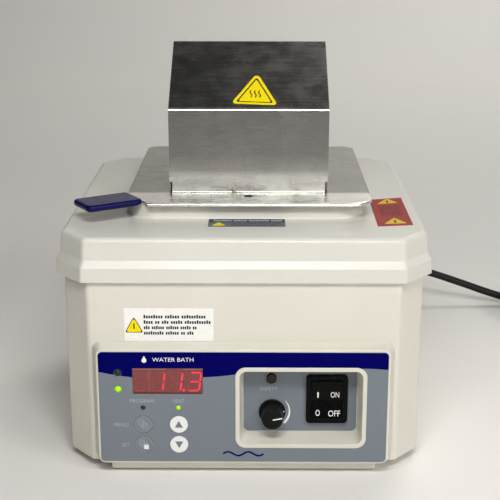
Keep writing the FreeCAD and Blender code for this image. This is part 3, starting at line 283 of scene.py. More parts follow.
def cover_sheet():
    """Steel of the cover: painted shade on the gable and on the top edge of the lip, a painted reflection on
    the foot of the gable front and the flange ahead of it, a painted highlight along the bend, and a stain
    beside the hole.
    """
    finish = brushed("lid_steel", STEEL, 0.27, ALONG_X)
    parts = finish.add("ShaderNodeSeparateXYZ", {0: finish.at})
    ahead, up = parts.outputs[1], parts.outputs[2]

    def both(first, second):
        return finish.math("MULTIPLY", first, second)

    # Painted shade: the gable is darkened above z 203, fully from z 215, and less on the slope above the
    # bend.
    gable_shade = both(finish.remap(up, *GABLE_PAINTED_SHADE, 0.0, 0.42), finish.remap(up, *SLOPE_START, 1.0, 0.3))
    finish.paint(gable_shade, shade(STEEL, 0.35))
    # Painted shade: the top edge of the lip is darkened to put out the highlight it catches.
    finish.paint(finish.remap(up, *LIP_PAINTED_SHADE, 0.9, 0.0), shade(STEEL, 0.12))
    # Painted reflection: the steel ahead of the gable's front and below z 203, the foot of the gable front
    # and the flange ahead of it, is made brighter.
    foot = both(finish.remap(ahead, *FOOT_FRONT, 0.0, 1.0), finish.remap(up, *FOOT_PAINTED_REFLECTION, 0.0, 1.0))
    finish.paint(foot, shade(STEEL, 2.4))
    # Painted highlight: a narrow bright band along the bend where the gable front meets the slope.
    bend = both(finish.remap(up, *BEND_START, 0.0, 1.0), finish.remap(up, *BEND_END, 1.0, 0.0))
    finish.paint(bend, shade(STEEL, 2.4))
    spot = finish.near(STAIN_PLACE, STAIN_RADIUS)
    stain = both(spot, finish.remap(finish.noise(2.0, 4.0), 0.4, 0.62, 0.0, 1.0))
    finish.paint(stain, srgb(96, 84, 66))
    return finish.material


FINISHES = {
    "housing_plastic": moulded("housing_plastic", CREAM, 0.42, 0.35, 0.012),
    "cover_plastic": pebbled("cover_plastic", COVER),
    "bezel_plastic": moulded("bezel_plastic", BEZEL, 0.38, 0.3, 0.008),
    "panel_film": moulded("panel_film", FILM_GREY, 0.46, 0.25, 0.006, 0.04, Specular_IOR_Level=0.25),
    "red_filter": filter_glass(),
    "black_plastic": moulded("black_plastic", srgb(15, 16, 16), 0.4, 0.4, 0.02, 0.15,
                             Specular_IOR_Level=0.14),
    "black_gloss": moulded("black_gloss", srgb(5, 5, 5), 0.25, 1.5, 0.01, 0.1, Specular_IOR_Level=0.1),
    "circuit_board": solder_mask(),
    "dark_red_lens": lamp("dark_red_lens", srgb(30, 1, 1), None, 0.0),
    "unlit_lens": lamp("unlit_lens", srgb(34, 48, 40), None, 0.0),
    "green_lit": lamp("green_lit", srgb(110, 170, 10), srgb(190, 240, 10), 0.8),
    "white_print": moulded("white_print", WHITE_INK, 0.4, 0.3, 0.006),
    "zinc_steel": plain_metal("zinc_steel", srgb(190, 190, 186), 0.35),
    "copper": plain_metal("copper", srgb(196, 128, 92), 0.3),
    "brass": plain_metal("brass", srgb(206, 178, 110), 0.28),
    "stainless": brushed("stainless", srgb(200, 200, 196), 0.26, ALONG_Y).material,
    "lid_steel": cover_sheet(),
    "silicone": rubber("silicone", srgb(170, 70, 50), 0.55, 1.0),
    "blanket": blanket(),
    "core_iron": plain_metal("core_iron", srgb(70, 70, 74), 0.5),
    "aluminium": plain_metal("aluminium", srgb(212, 212, 214), 0.32),
    "wire_insulation": rubber("wire_insulation", srgb(34, 34, 34), 0.45, 0.8),
    "black_rubber": rubber("black_rubber", srgb(14, 14, 14), 0.42, 0.6),
    "foot_rubber": rubber("foot_rubber", srgb(30, 30, 30), 0.7, 0.5),
    "blue_vinyl": vinyl(),
    "label_yellow": ink("label_yellow", YELLOW_INK, 0.4),
    "label_white": ink("label_white", srgb(246, 246, 242), 0.5),
    "label_blue": ink("label_blue", srgb(108, 111, 118), 0.45),
    "label_red": ink("label_red", srgb(158, 56, 50), 0.5),
}
END_STEEL = brushed("end_steel", shade(STEEL, 0.7), 0.3, ALONG_Y).material


def dress_nodes():
    """Every CAD node takes the finish of its material slot."""
    for node in nodes.values():
        for held in node.material_slots:
            held.material = FINISHES[held.material.name.split(".")[0]]
    for name in ("lid_end_left", "lid_end_right"):
        nodes[name].material_slots[0].material = END_STEEL


# Outlines, as lists of (u, v) in millimetres


def circle(u, v, radius, count=48):
    """Circle about (u, v)."""
    turns = [2 * math.pi * i / count for i in range(count)]
    return [(u + radius * math.cos(t), v + radius * math.sin(t)) for t in turns]


def rounded(corners, radius, steps=5):
    """Closed outline with each corner turned into an arc."""
    outline = []
    count = len(corners)
    for i, corner in enumerate(corners):
        corner = Vector(corner)
        back = (Vector(corners[i - 1]) - corner).normalized()
        ahead = (Vector(corners[(i + 1) % count]) - corner).normalized()
        half = back.angle(ahead) / 2
        centre = corner + (back + ahead).normalized() * (radius / math.sin(half))
        first = corner + back * (radius / math.tan(half)) - centre
        last = corner + ahead * (radius / math.tan(half)) - centre
        for k in range(steps + 1):
            spoke = first.slerp(last, k / steps)
            outline.append(tuple(centre + spoke))
    return outline


def rectangle(u0, u1, v0, v1, radius=0.0):
    """Rectangle between two values of u and two of v."""
    corners = [(u0, v0), (u1, v0), (u1, v1), (u0, v1)]
    return rounded(corners, radius) if radius else corners


def stroke(line, width):
    """Outline of a line of even width, with square ends."""
    left, right = [], []
    for i, here in enumerate(line):
        before = Vector(line[max(i - 1, 0)])
        after = Vector(line[min(i + 1, len(line) - 1)])
        along = (after - before).normalized()
        side = Vector((-along.y, along.x)) * (width / 2)
        left.append(tuple(Vector(here) + side))
        right.append(tuple(Vector(here) - side))
    return left + right[::-1]


def leaning(outline, slope, about):
    """The outline sheared like italics about a height."""
    return [(u + (v - about) * slope, v) for u, v in outline]


# Printing

INK = 0.02           # thickness of a print
LIFT = 0.02          # between a surface and the print on it


def plane(origin, across, up):
    """Drawing plane in millimetres: u runs across and v runs up. Prints face their cross product."""
    across, up = Vector(across).normalized(), Vector(up).normalized()
    place = Matrix((across, up, across.cross(up))).transposed().to_4x4()
    place.translation = Vector(origin)
    return place


def solid_from(curve, name, place, layer):
    """Turns a flat curve into a thin closed mesh that lies on a plane."""
    source = bpy.data.objects.new(name + "_source", curve)
    bpy.context.scene.collection.objects.link(source)
    bpy.context.view_layer.update()
    mesh = bpy.data.meshes.new_from_object(source.evaluated_get(bpy.context.evaluated_depsgraph_get()))
    bpy.data.objects.remove(source)
    bpy.data.curves.remove(curve)
    lift = Matrix.Translation((0, 0, LIFT + INK / 2 + layer * (INK + LIFT)))
    mesh.transform(Matrix.Scale(MM, 4) @ place @ lift)
    piece = bpy.data.objects.new(name, mesh)
    bpy.context.scene.collection.objects.link(piece)
    return piece


def finished(piece, material, body):
    """A print with its ink, riding on a body."""
    piece.data.materials.clear()
    piece.data.materials.append(material)
    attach(piece, body)
    return piece


def printed(name, outlines, place, material, body="housing", layer=0):
    """Filled outlines, where one inside another is a hole."""
    curve = bpy.data.curves.new(name, "CURVE")
    curve.dimensions = "2D"
    curve.fill_mode = "BOTH"
    curve.extrude = INK / 2
    for outline in outlines:
        spline = curve.splines.new("POLY")
        spline.points.add(len(outline) - 1)
        for point, (u, v) in zip(spline.points, outline):
            point.co = (u, v, 0, 1)
        spline.use_cyclic_u = True
    return finished(solid_from(curve, name, place, layer), material, body)


def lettered(name, words, centre, height, width, place, material, body="housing", layer=0, bold=0.0):
    """A word fitted to a height and a width about a centre."""
    curve = bpy.data.curves.new(name, "FONT")
    curve.body = words
    curve.size = 10.0
    curve.offset = bold
    curve.resolution_u = 3
    curve.fill_mode = "BOTH"
    curve.extrude = INK / 2
    piece = solid_from(curve, name, Matrix.Identity(4), layer)
    points = [vertex.co / MM for vertex in piece.data.vertices]
    low = Vector(map(min, zip(*points)))
    high = Vector(map(max, zip(*points)))
    middle = (low + high) / 2
    fit = Matrix.Diagonal((width / (high.x - low.x), height / (high.y - low.y), 1.0, 1.0))
    to_centre = Matrix.Translation((centre[0], centre[1], 0))
    from_middle = Matrix.Translation((-middle.x, -middle.y, 0))
    metres = Matrix.Scale(MM, 4)
    piece.data.transform(metres @ place @ to_centre @ fit @ from_middle @ metres.inverted())
    return finished(piece, material, body)


WORD_SPACE = 0.8        # as a share of the letters' pitch
LETTER_WIDTH = 0.74
TALL_LETTER = 1.28      # as a share of the letters' height


def text_stand_in(rows, u0, v_top, pitch, height):
    """Blocks that look like small print from afar. Each row is its width and its words' lengths."""
    blocks = []
    for row, (width, words) in enumerate(rows):
        letter = width / (sum(words) + WORD_SPACE * (len(words) - 1))
        u = u0
        v = v_top - row * pitch
        for length in words:
            for k in range(length):
                tall = height * (TALL_LETTER if (k * 5 + length) % 4 == 0 else 1.0)
                blocks.append(rectangle(u, u + letter * LETTER_WIDTH, v - height, v - height + tall))
                u += letter
            u += letter * WORD_SPACE
    return blocks


WHITE = ink("white_ink", WHITE_INK)
PALE = ink("pale_ink", PALE_INK)
DARK = ink("dark_ink", DARK_INK)
NAVY_FILM = ink("navy_ink", NAVY, 0.4, 0.03)
GREY_INK = ink("grey_ink", FILM_GREY)
AMBER = ink("amber_ink", AMBER_INK)
YELLOW = FINISHES["label_yellow"]
NAVY_GREY = ink("navy_grey_ink", srgb(50, 55, 75))
DARK_PRINT = ink("dark_print", srgb(66, 70, 80))
DARK_RED = ink("dark_red_ink", srgb(92, 22, 22))
FILTER_DARK = ink("filter_dark", srgb(80, 32, 32), 0.3)
FILTER_PALE = ink("filter_pale", srgb(150, 104, 96), 0.3)
GHOST = ink("unlit_bars", srgb(172, 62, 58), 0.3)
GLOW = lamp("lit_bars", srgb(190, 40, 52), srgb(255, 48, 72), 0.9)

panel_low, panel_high = (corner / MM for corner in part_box("panel_film"))
PANEL = plane((0, panel_low.y, 0), (1, 0, 0), (0, 0, 1))
well_low, well_high = (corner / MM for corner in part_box("well_film"))
WELL = plane((0, well_low.y, 0), (1, 0, 0), (0, 0, 1))


def middle_of(node):
    """Middle of a CAD node, seen from the front, in millimetres."""
    low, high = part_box(node)
    return ((low.x + high.x) / 2 / MM, (low.z + high.z) / 2 / MM)


def smooth_line(points, steps=10):
    """A curve through points of rising u, with slopes taken from the neighbours."""
    line = []
    last = len(points) - 1
    slopes = []
    for i in range(last + 1):
        (u0, v0), (u1, v1) = points[max(i - 1, 0)], points[min(i + 1, last)]
        slopes.append((v1 - v0) / (u1 - u0))
    for i in range(last):
        (u0, v0), (u1, v1) = points[i], points[i + 1]
        span = u1 - u0
        for k in range(steps):
            t = k / steps
            v = (v0 * (1 + 2 * t) * (1 - t) ** 2 + v1 * t * t * (3 - 2 * t)
                 + span * (slopes[i] * t * (1 - t) ** 2 - slopes[i + 1] * t * t * (1 - t)))
            line.append((u0 + span * t, v))
    line.append(points[-1])
    return line


def over_circle(line, centre, radius):
    """A line of rising u that passes over the top of a circle instead of through it."""
    middle = Vector(centre)
    left = [p for p in line if p[0] < centre[0] and (Vector(p) - middle).length > radius]
    right = [p for p in line if p[0] > centre[0] and (Vector(p) - middle).length > radius]
    start = math.atan2(left[-1][1] - centre[1], left[-1][0] - centre[0]) % (2 * math.pi)
    end = math.atan2(right[0][1] - centre[1], right[0][0] - centre[0])
    turns = [start + (end - start) * k / 16 for k in range(17)]
    arc = [(centre[0] + radius * math.cos(t), centre[1] + radius * math.sin(t)) for t in turns]
    return left + arc + right


FILM_MARGIN = 0.02      # from the edge of the film to the edge of the band
FILM_CORNER = 3.0
RECESS_RING = (-5.7, 87.2, 83.2, 7.5)   # left, right, top and corner radius of the recess's rim
LAMP_CLEAR = 2.75       # radius left free round the upper status lamp


def navy_band():
    """Navy band across the top of the film. Its wavy lower edge stops at the window, lamp and recess."""
    half = panel_high.x - FILM_MARGIN
    top = panel_high.z - FILM_MARGIN
    corner = FILM_CORNER
    ring_left, ring_right, ring_top, ring_corner = RECESS_RING
    window_low, window_high = (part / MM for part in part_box("display_window"))
    w0, w1, window_top = window_low.x - 0.12, window_high.x + 0.12, window_high.z + 0.1
    left = smooth_line([(-half, 79.6), (-90.0, 77.2), (w0, 75.5)])
    left = over_circle(left, middle_of("status_lamp_upper"), LAMP_CLEAR)
    left += [(w0, window_top), (w1, window_top)]
    left += smooth_line([(w1, 75.7), (-17.0, 76.5), (ring_left, 77.9)])
    reach = ring_corner - 0.2
    around = [(ring_left + ring_corner - reach * math.cos(t), ring_top - ring_corner + reach * math.sin(t))
              for t in [math.radians(18 + 8 * k) for k in range(10)]]
    back = [(ring_right - ring_corner + reach * math.sin(t), ring_top - ring_corner + reach * math.cos(t))
            for t in [math.radians(4 + 8 * k) for k in range(4)]]
    right = smooth_line([(84.6, 82.6), (93.0, 82.3), (half, 81.7)], 5)
    upper = [(half - corner + corner * math.sin(t), top - corner + corner * math.cos(t))
             for t in [math.radians(90 - 15 * k) for k in range(7)]]
    upper += [(-half + corner - corner * math.sin(t), top - corner + corner * math.cos(t))
              for t in [math.radians(15 * k) for k in range(7)]]
    printed("navy_band", [left + around + back + right + upper], PANEL, NAVY_FILM)


def droplet(u, v, radius):
    """Plain drop of water, standing on its round end."""
    point = (u, v + 2.1 * radius)
    arc = [(u + radius * math.sin(t), v - radius * math.cos(t))
           for t in [math.radians(-125 + 10 * k) for k in range(26)]]
    return [point] + arc


WAVE_HALF, WAVE_LEVEL = 14.5, 17.0
WORD_HEIGHT = 2.7


def panel_marks():
    """A plain drop, a wave and the generic words on the film."""
    printed("drop_mark", [droplet(-69.4, 88.2, 1.7)], PANEL, WHITE, layer=1)
    lettered("name_words", "WATER BATH", (-49.2, 88.9), 3.0, 29.0, PANEL, WHITE, layer=1,
             bold=0.02)
    wave = [(0.5 * k - WAVE_HALF, WAVE_LEVEL + 1.5 * math.sin(math.pi * k / WAVE_HALF)) for k in range(59)]
    printed("wave_mark", [stroke(wave, 1.3)], PANEL, NAVY_FILM)
    for name, words, centre, width in (
        ("program_words", "PROGRAM", (-71.6, 57.7), 16.4),
        ("heat_words", "HEAT", (-45.7, 57.7), 8.4),
        ("menu_words", "MENU", (-86.9, 39.3), 10.2),
        ("set_words", "SET", (-84.0, 23.6), 5.3),
    ):
        lettered(name, words, centre, WORD_HEIGHT, width, PANEL, PALE)
    lettered("safety_words", "SAFETY", (18.2, 61.0), WORD_HEIGHT, 13.0, WELL, PALE)


def front_of(node):
    """Drawing plane on a node's front face."""
    return plane((0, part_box(node)[0].y / MM, 0), (1, 0, 0), (0, 0, 1))


RING_OUTER, RING_INNER = 6.15, 5.9
SHEET_HALF = (1.8, 2.1)     # half the width and height of a page on a key
SHEET_LINE = 0.35
SHEET_STEP = 1.5


def sheet_outline(u, v):
    """Frame of one page, about a centre."""
    frames = []
    for inset in (0.0, SHEET_LINE):
        wide, high = SHEET_HALF[0] - inset, SHEET_HALF[1] - inset
        frames.append(rectangle(u - wide, u + wide, v - high, v + high))
    return frames


def key_marks():
    """Pages on the two dark keys and arrows on the two white ones."""
    for key, body in (("menu_key", "menu_button"), ("set_key", "set_button")):
        u, v = middle_of(key)
        face = front_of(key)
        ring = [circle(u, v, RING_OUTER), circle(u, v, RING_INNER)]
        printed(key + "_ring", ring, face, PALE, body)
        for k in range(3):
            step = SHEET_STEP * (k - 1)
            sheet = sheet_outline(u + step, v - step)
            printed("%s_sheet_%d" % (key, k), sheet, face, PALE, body, layer=k)
    u, v = middle_of("set_key")
    printed("set_square", [rectangle(u + 0.1, u + 3.4, v - 3.6, v - 0.2)], front_of("set_key"), WHITE,
            "set_button", layer=3)
    for key, body, way in (("up_key", "up_button", 1), ("down_key", "down_button", -1)):
        u, v = middle_of(key)
        arrow = [(u - 2.9, v - 2.4 * way), (u + 2.9, v - 2.4 * way), (u, v + 2.9 * way)]
        printed(key + "_arrow", [arrow], front_of(key), GREY_INK, body)


def segment(start, end, width):
    """Bar of the display, with pointed ends."""
    start, end = Vector(start), Vector(end)
    along = (end - start).normalized() * (width / 2)
    side = Vector((-along.y, along.x))
    return [tuple(p) for p in (start, start + along + side, end - along + side, end,
                               end - along - side, start + along - side)]


DIGIT_WIDTH, DIGIT_LOW, DIGIT_HIGH = 7.6, 65.6, 79.2
DIGIT_LEAN = math.tan(math.radians(8))
BAR_GAP = 0.35


def digit_bars(centre, names, width):
    """Some of the seven bars a to g of one digit."""
    left, right = centre - DIGIT_WIDTH / 2, centre + DIGIT_WIDTH / 2
    low, high = DIGIT_LOW, DIGIT_HIGH
    middle = (low + high) / 2
    ends = {
        "a": ((left, high), (right, high)), "b": ((right, middle), (right, high)),
        "c": ((right, low), (right, middle)), "d": ((left, low), (right, low)),
        "e": ((left, low), (left, middle)), "f": ((left, middle), (left, high)),
        "g": ((left, middle), (right, middle)),
    }
    bars = []
    for name in names:
        start, end = Vector(ends[name][0]), Vector(ends[name][1])
        trim = (end - start).normalized() * BAR_GAP
        bars.append(leaning(segment(start + trim, end - trim, width), DIGIT_LEAN, middle))
    return bars


def display_marks():
    """Four digits behind the red filter, three of them lit, with the unlit bars just visible."""
    face = front_of("display_window")
    low, high = (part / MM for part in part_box("display_window"))
    shadow = rectangle(low.x + 0.3, high.x - 0.3, low.z + 0.2, low.z + 1.0)
    printed("display_shade", [shadow], face, FILTER_DARK)
    printed("display_tapes", [rectangle(low.x + 0.3, -54.1, high.z - 0.9, high.z - 0.2),
                              rectangle(-42.0, high.x - 0.3, high.z - 0.9, high.z - 0.2)], face, FILTER_PALE)
    printed("display_divider", [rectangle(-66.5, -66.0, 64.4, 81.2)], face, FILTER_PALE)
    for k, (centre, lit) in enumerate(((-72.3, ""), (-59.7, "bc"), (-47.2, "bc"), (-34.1, "abcdg"))):
        unlit = [name for name in "abcdefg" if name not in lit]
        printed("digit_%d_unlit" % k, digit_bars(centre, unlit, 0.8), face, GHOST, layer=1)
        if lit:
            printed("digit_%d_lit" % k, digit_bars(centre, lit, 1.15), face, GLOW, layer=1)
    printed("decimal_point", [circle(-42.0, 65.9, 0.95, 20)], face, GLOW, layer=1)


KNOB_ARC_RADIUS = 12.5
KNOB_ARC_FROM, KNOB_ARC_SPAN = 40, 87   # degrees, clockwise
KNOB_SKIRT = 1.4                        # thickness of the knob's skirt


def knob_marks():
    """Tapered arc on the recess round the knob, and a dot on the knob's skirt."""
    u, v = middle_of("safety_knob")
    outer, inner = [], []
    for k in range(25):
        turn = math.radians(KNOB_ARC_FROM - KNOB_ARC_SPAN * k / 24)
        half = (0.4 + 1.0 * min(1.0, k / 16)) / 2
        far, near = KNOB_ARC_RADIUS + half, KNOB_ARC_RADIUS - half
        outer.append((u + far * math.cos(turn), v + far * math.sin(turn)))
        inner.append((u + near * math.cos(turn), v + near * math.sin(turn)))
    printed("knob_arc", [outer + inner[::-1]], WELL, WHITE)
    skirt = plane((0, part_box("safety_knob")[1].y / MM - KNOB_SKIRT, 0), (1, 0, 0), (0, 0, 1))
    printed("knob_dot", [circle(29.0, 44.2, 0.45, 16)], skirt, WHITE, "knob")


ROCKER_VALLEY = (0, -133.43, 54.13)     # where the two faces of the rocker meet


def rocker_marks():
    """Words on the two faces of the rocker, which meet in a shallow valley."""
    upper = plane(ROCKER_VALLEY, (1, 0, 0), (0, -0.69, 14.45))
    lower = plane(ROCKER_VALLEY, (1, 0, 0), (0, 3.68, 13.99))
    for name, words, centre, width, face in (
        ("rocker_one", "I", (53.3, 3.7), 1.0, upper),
        ("rocker_on", "ON", (65.4, 3.8), 6.1, upper),
        ("rocker_zero", "O", (53.1, -9.6), 3.1, lower),
        ("rocker_off", "OFF", (64.9, -10.0), 8.5, lower),
    ):
        lettered(name, words, centre, 4.3, width, face, WHITE, "rocker", bold=0.015)


GABLE_HALF, GABLE_BEND, GABLE_RIDGE = 71.75, 248.7, 291.3
HEAT_LABEL_X, HEAT_LABEL_UP, HEAT_LABEL_TURN = 7.2, 6, 3    # across, up the slope from the bend, degrees
LABEL_THICK = 0.2
SLOPE_FRONT = -48.55


def heat_label():
    """Triangle with a dark border and three plain waves."""
    turn = math.radians(HEAT_LABEL_TURN)
    rise = math.atan2(GABLE_RIDGE - GABLE_BEND, GABLE_HALF)
    across = (math.cos(turn), -math.sin(turn) * math.cos(rise), -math.sin(turn) * math.sin(rise))
    up = (math.sin(turn), math.cos(turn) * math.cos(rise), math.cos(turn) * math.sin(rise))
    face = Vector((0, -math.sin(rise), math.cos(rise))) * LABEL_THICK
    foot = Vector((HEAT_LABEL_X, SLOPE_FRONT + HEAT_LABEL_UP * math.cos(rise),
                   GABLE_BEND + HEAT_LABEL_UP * math.sin(rise)))
    place = plane(foot + face, across, up)
    outside = rounded([(-14.6, 1.7), (14.6, 1.7), (0, 32.6)], 1.4)
    inside = rounded([(-12.0, 3.2), (12.0, 3.2), (0, 28.9)], 0.8)
    printed("heat_border", [outside, inside], place, DARK, "cover")
    for k in range(3):
        heights = [8 + 0.5 * j for j in range(17)]
        line = [(3.2 * (k - 1) + 0.75 * math.sin(math.pi * (v - 8.0) / 4.0), v) for v in heights]
        printed("heat_wave_%d" % k, [stroke(line, 0.9)], place, DARK, "cover")


DECK = plane((0, 0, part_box("deck_label")[1].z / MM), (1, 0, 0), (0, 1, 0))


def front_label_marks():
    """Triangle and rows of blocks on the front label."""
    front = front_of("front_label")
    rows = [(43.9, [8, 6, 10]), (47.4, [4, 2, 3, 5, 11]), (37.5, [3, 6, 6, 5, 2]), (35.3, [9, 6, 2, 3])]
    printed("front_rows", text_stand_in(rows, -70.1, 117.3, 4.05, 2.0), front, DARK)
    border = rounded([(-83.1, 104.9), (-70.9, 104.9), (-77.0, 116.0)], 0.7)
    printed("front_border", [border], front, DARK)
    inside = rounded([(-81.7, 105.7), (-72.3, 105.7), (-77.0, 114.3)], 0.4)
    printed("front_triangle", [inside], front, YELLOW, layer=1)
    printed("front_bar", [rectangle(-77.5, -76.5, 107.4, 111.6)], front, DARK, layer=2)


def deck_label_marks():
    """Band, triangle and rows of blocks on the label in front of the cover."""
    printed("deck_band", [rectangle(-25.5, 29.5, -88.6, -79.2)], DECK, NAVY_GREY)
    title = text_stand_in([(50.0, [8, 6, 9, 5])], -22.0, -82.0, 4.0, 3.6)
    printed("deck_rows", title, DECK, PALE, layer=1)
    small_rows = text_stand_in([(36.0, [6, 9, 7, 5]), (34.0, [9, 4, 8, 6])], -9.0, -91.2, 4.2, 2.0)
    printed("deck_small_rows", small_rows, DECK, DARK_PRINT)
    warning = rounded([(-22.6, -97.0), (-13.6, -97.0), (-18.2, -88.6)], 0.5)
    printed("deck_triangle", [warning], DECK, YELLOW)


def corner_label_marks():
    """Two triangles with rows of blocks between them on the red label."""
    for k, (left, right, apex) in enumerate((
        ((101.0, -33.7), (118.0, -28.8), (110.6, -15.6)),
        ((100.9, -92.2), (118.1, -89.8), (110.0, -74.3)),
    )):
        printed("corner_triangle_%d" % k, [rounded([left, right, apex], 1.0)], DECK, AMBER)
        u, v = (left[0] + right[0] + apex[0]) / 3, (left[1] + right[1] + apex[1]) / 3
        bar = rectangle(u - 0.7, u + 0.7, v - 3.2, v + 4.0)
        printed("corner_bar_%d" % k, [bar], DECK, DARK, layer=1)
    rows = [(17.0, [7, 4, 6]), (14.0, [5, 6, 3]), (16.0, [8, 3, 5]), (15.0, [4, 9]), (16.0, [6, 5, 4])]
    printed("corner_rows", text_stand_in(rows, 101.5, -38.0, 6.4, 3.6), DECK, DARK_RED)


dress_nodes()
navy_band()
panel_marks()
key_marks()
display_marks()
knob_marks()
rocker_marks()
heat_label()
front_label_marks()
deck_label_marks()
corner_label_marks()


# Mains lead

CORD = 7.3
LEAD = [
    (95.0, 142.15, 50.0),
    (95.0, 165.0, 50.0),
    (95.0, 182.15, 50.0),
    (95.0, 198.0, 50.0),
    (100.0, 216.0, 49.6),
    (112.0, 231.0, 48.4),
    (129.0, 241.0, 46.0),
    (150.0, 245.0, 41.3),
    (173.0, 245.5, 35.2),
    (198.0, 243.0, 28.0),
    (223.0, 240.0, 20.0),
    (247.0, 237.0, 12.0),
    (270.0, 234.4, 6.0),
    (293.0, 232.4, 3.8),
]
COIL_CENTRE = (300.0, 190.0)
COIL_OUT, COIL_IN = 42.15, 34.85
COIL_TURNS = 6.25
TURN_POINTS = 24
TAIL = [
    (342.3, 178.0, 25.3),
    (342.8, 166.0, 22.6),
    (343.3, 153.0, 17.0),
    (343.5, 138.0, 13.0),
]
FIRST_CHANGE, CHANGE_PITCH, CHANGE_SPAN = 0.82, 0.94, 0.15     # turns
OUTWARD_FROM, OUTWARD_TO, COIL_END = 5.78, 6.1, 7.0


def coil_moves():
    """Where each turn of the coil changes radius or layer: (turns so far, radius, height)."""
    layer = CORD / 2
    moves = [(0.0, COIL_OUT, layer)]
    slots = [(COIL_IN, 1), (COIL_IN, 2), (COIL_OUT, 2), (COIL_OUT, 3), (COIL_IN, 3), (COIL_IN, 4)]
    for k, (radius, level) in enumerate(slots):
        start = FIRST_CHANGE + CHANGE_PITCH * k
        height = layer + (level - 1) * CORD
        moves.append((start, *moves[-1][1:]))
        moves.append((start + CHANGE_SPAN, radius, height))
    for turns, radius in ((OUTWARD_FROM, COIL_IN), (OUTWARD_TO, COIL_OUT), (COIL_END, COIL_OUT)):
        moves.append((turns, radius, layer + 3 * CORD))
    return moves


def coil_points():
    """Turns of the coil, clockwise from its back."""
    moves = coil_moves()
    points = []
    for i in range(1, int(COIL_TURNS * TURN_POINTS) + 1):
        turn = i / TURN_POINTS
        k = max(j for j, move in enumerate(moves[:-1]) if move[0] <= turn)
        (t0, r0, z0), (t1, r1, z1) = moves[k], moves[k + 1]
        share = (turn - t0) / (t1 - t0)
        share = share * share * (3 - 2 * share)
        radius = r0 + (r1 - r0) * share
        angle = math.radians(90) - 2 * math.pi * turn
        x = COIL_CENTRE[0] + radius * math.cos(angle)
        y = COIL_CENTRE[1] + radius * math.sin(angle)
        points.append((x, y, z0 + (z1 - z0) * share))
    return points


def mains_lead():
    """The lead from the strain relief over the floor to its coil and its plug."""
    points = LEAD + [(COIL_CENTRE[0], COIL_CENTRE[1] + COIL_OUT, CORD / 2)] + coil_points() + TAIL
    curve = bpy.data.curves.new("mains_lead", "CURVE")
    curve.dimensions = "3D"
    curve.bevel_depth = CORD / 2 * MM
    curve.bevel_resolution = 6
    curve.use_fill_caps = True
    spline = curve.splines.new("NURBS")
    spline.points.add(len(points) - 1)
    for point, place in zip(spline.points, points):
        point.co = (*(part * MM for part in place), 1)
    spline.order_u = 3
    spline.use_endpoint_u = True
    spline.resolution_u = 4
    lead = bpy.data.objects.new("mains_lead", curve)
    bpy.context.scene.collection.objects.link(lead)
    lead.data.materials.append(FINISHES["black_rubber"])
    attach(lead, "housing")
    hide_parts("power_cord", "cord_coil", "cord_tail")


mains_lead()


# Floor, lights and camera


def floor_finish():
    """Pale matt paper of the sweep."""
    finish = Finish("floor", srgb(243, 240, 236), 0.6)
    finish.vary(400.0, 0.02)
    finish.bump(finish.noise(3.0, 3.0), 0.05)
    return finish.material


SWEEP_NEAR, SWEEP_TURN, SWEEP_RADIUS = -3000.0, 1800.0, 700.0
SWEEP_TOP, SWEEP_HALF = 3200.0, 3000.0
SWEEP_STEPS = 12


def studio():
    """Pale sweep: a floor that curves up into a backdrop."""
    profile = [(SWEEP_NEAR, 0.0), (SWEEP_TURN, 0.0)]
    for k in range(1, SWEEP_STEPS + 1):
        angle = math.radians(90 * k / SWEEP_STEPS)
        profile.append((SWEEP_TURN + SWEEP_RADIUS * math.sin(angle), SWEEP_RADIUS * (1 - math.cos(angle))))
    profile.append((SWEEP_TURN + SWEEP_RADIUS, SWEEP_TOP))
    vertices = [(x * MM, y * MM, z * MM) for y, z in profile for x in (-SWEEP_HALF, SWEEP_HALF)]
    faces = [(2 * i, 2 * i + 1, 2 * i + 3, 2 * i + 2) for i in range(len(profile) - 1)]
    mesh = bpy.data.meshes.new("sweep")
    mesh.from_pydata(vertices, [], faces)
    for face in mesh.polygons:
        face.use_smooth = True
    sweep = bpy.data.objects.new("sweep", mesh)
    bpy.context.scene.collection.objects.link(sweep)
    mesh.materials.append(floor_finish())


def area_light(name, place, aim, size, power, color):
    """Soft rectangular light at a place in metres, turned towards a point. Its power is in watts."""
    light = bpy.data.lights.new(name, "AREA")
    light.shape = "RECTANGLE"
    light.size, light.size_y = size
    light.energy = power
    light.color = color
    holder = bpy.data.objects.new(name, light)
    holder.location = place
    holder.rotation_euler = (Vector(aim) - Vector(place)).to_track_quat("-Z", "Y").to_euler()
    bpy.context.scene.collection.objects.link(holder)


WARM_WHITE = (1.0, 0.99, 0.97)
PLAIN_WHITE = (1.0, 0.99, 0.98)


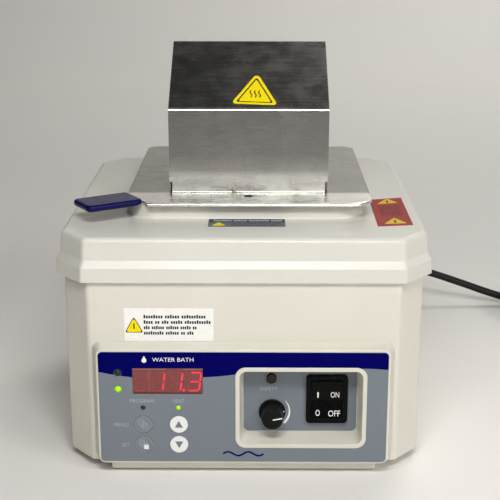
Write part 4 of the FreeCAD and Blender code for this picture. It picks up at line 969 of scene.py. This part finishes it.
def lights():
    """A key light from the right, a weaker one in front, and one each for the backdrop and the near floor."""
    area_light("key", (1.35, -1.3, 1.15), (0.0, 0.0, 0.12), (0.7, 0.6), 10.8, WARM_WHITE)
    area_light("front", (0.6, -1.9, 0.84), (0.0, 0.0, 0.2), (0.4, 0.2), 4.4, WARM_WHITE)
    area_light("backdrop", (0.9, 1.7, 2.3), (0.5, 2.1, 0.0), (1.2, 1.0), 24.0, WARM_WHITE)
    area_light("floor_front", (0.0, -0.7, 0.8), (0.0, -0.4, 0.0), (0.45, 0.2), 5.4, PLAIN_WHITE)


def room():
    """Light from all round: brighter near the horizon than above, and brighter on the right."""
    world = bpy.data.worlds.new("room")
    world.use_nodes = True
    tree = world.node_tree
    background = tree.nodes["Background"]
    direction = tree.nodes.new("ShaderNodeTexCoord")
    parts = tree.nodes.new("ShaderNodeSeparateXYZ")
    tree.links.new(direction.outputs["Generated"], parts.inputs[0])
    ramps = []
    for axis, low, high, first, last in (("Z", 0.1, 0.8, 1.0, 0.22), ("X", -0.8, 0.5, 0.055, 0.33)):
        ramp = tree.nodes.new("ShaderNodeMapRange")
        tree.links.new(parts.outputs[axis], ramp.inputs["Value"])
        for socket, value in (("From Min", low), ("From Max", high), ("To Min", first), ("To Max", last)):
            ramp.inputs[socket].default_value = value
        ramps.append(ramp)
    both = tree.nodes.new("ShaderNodeMath")
    both.operation = "MULTIPLY"
    tree.links.new(ramps[0].outputs[0], both.inputs[0])
    tree.links.new(ramps[1].outputs[0], both.inputs[1])
    tree.links.new(both.outputs[0], background.inputs["Strength"])
    background.inputs["Color"].default_value = (*WARM_WHITE, 1)
    bpy.context.scene.world = world


SENSOR, LENS = 36.0, 85.68
CAMERA_PLACE = (0.01119, -0.92125, 0.39592)     # metres
CAMERA_PITCH, CAMERA_YAW = 73.70, 0.474         # degrees


def camera():
    """View from in front and a little above."""
    data = bpy.data.cameras.new("camera")
    data.sensor_width = SENSOR
    data.lens = LENS
    holder = bpy.data.objects.new("camera", data)
    holder.location = CAMERA_PLACE
    holder.rotation_euler = (math.radians(CAMERA_PITCH), 0.0, math.radians(CAMERA_YAW))
    bpy.context.scene.collection.objects.link(holder)
    bpy.context.scene.camera = holder


studio()
lights()
room()
camera()
bpy.context.scene.view_settings.view_transform = "Standard"
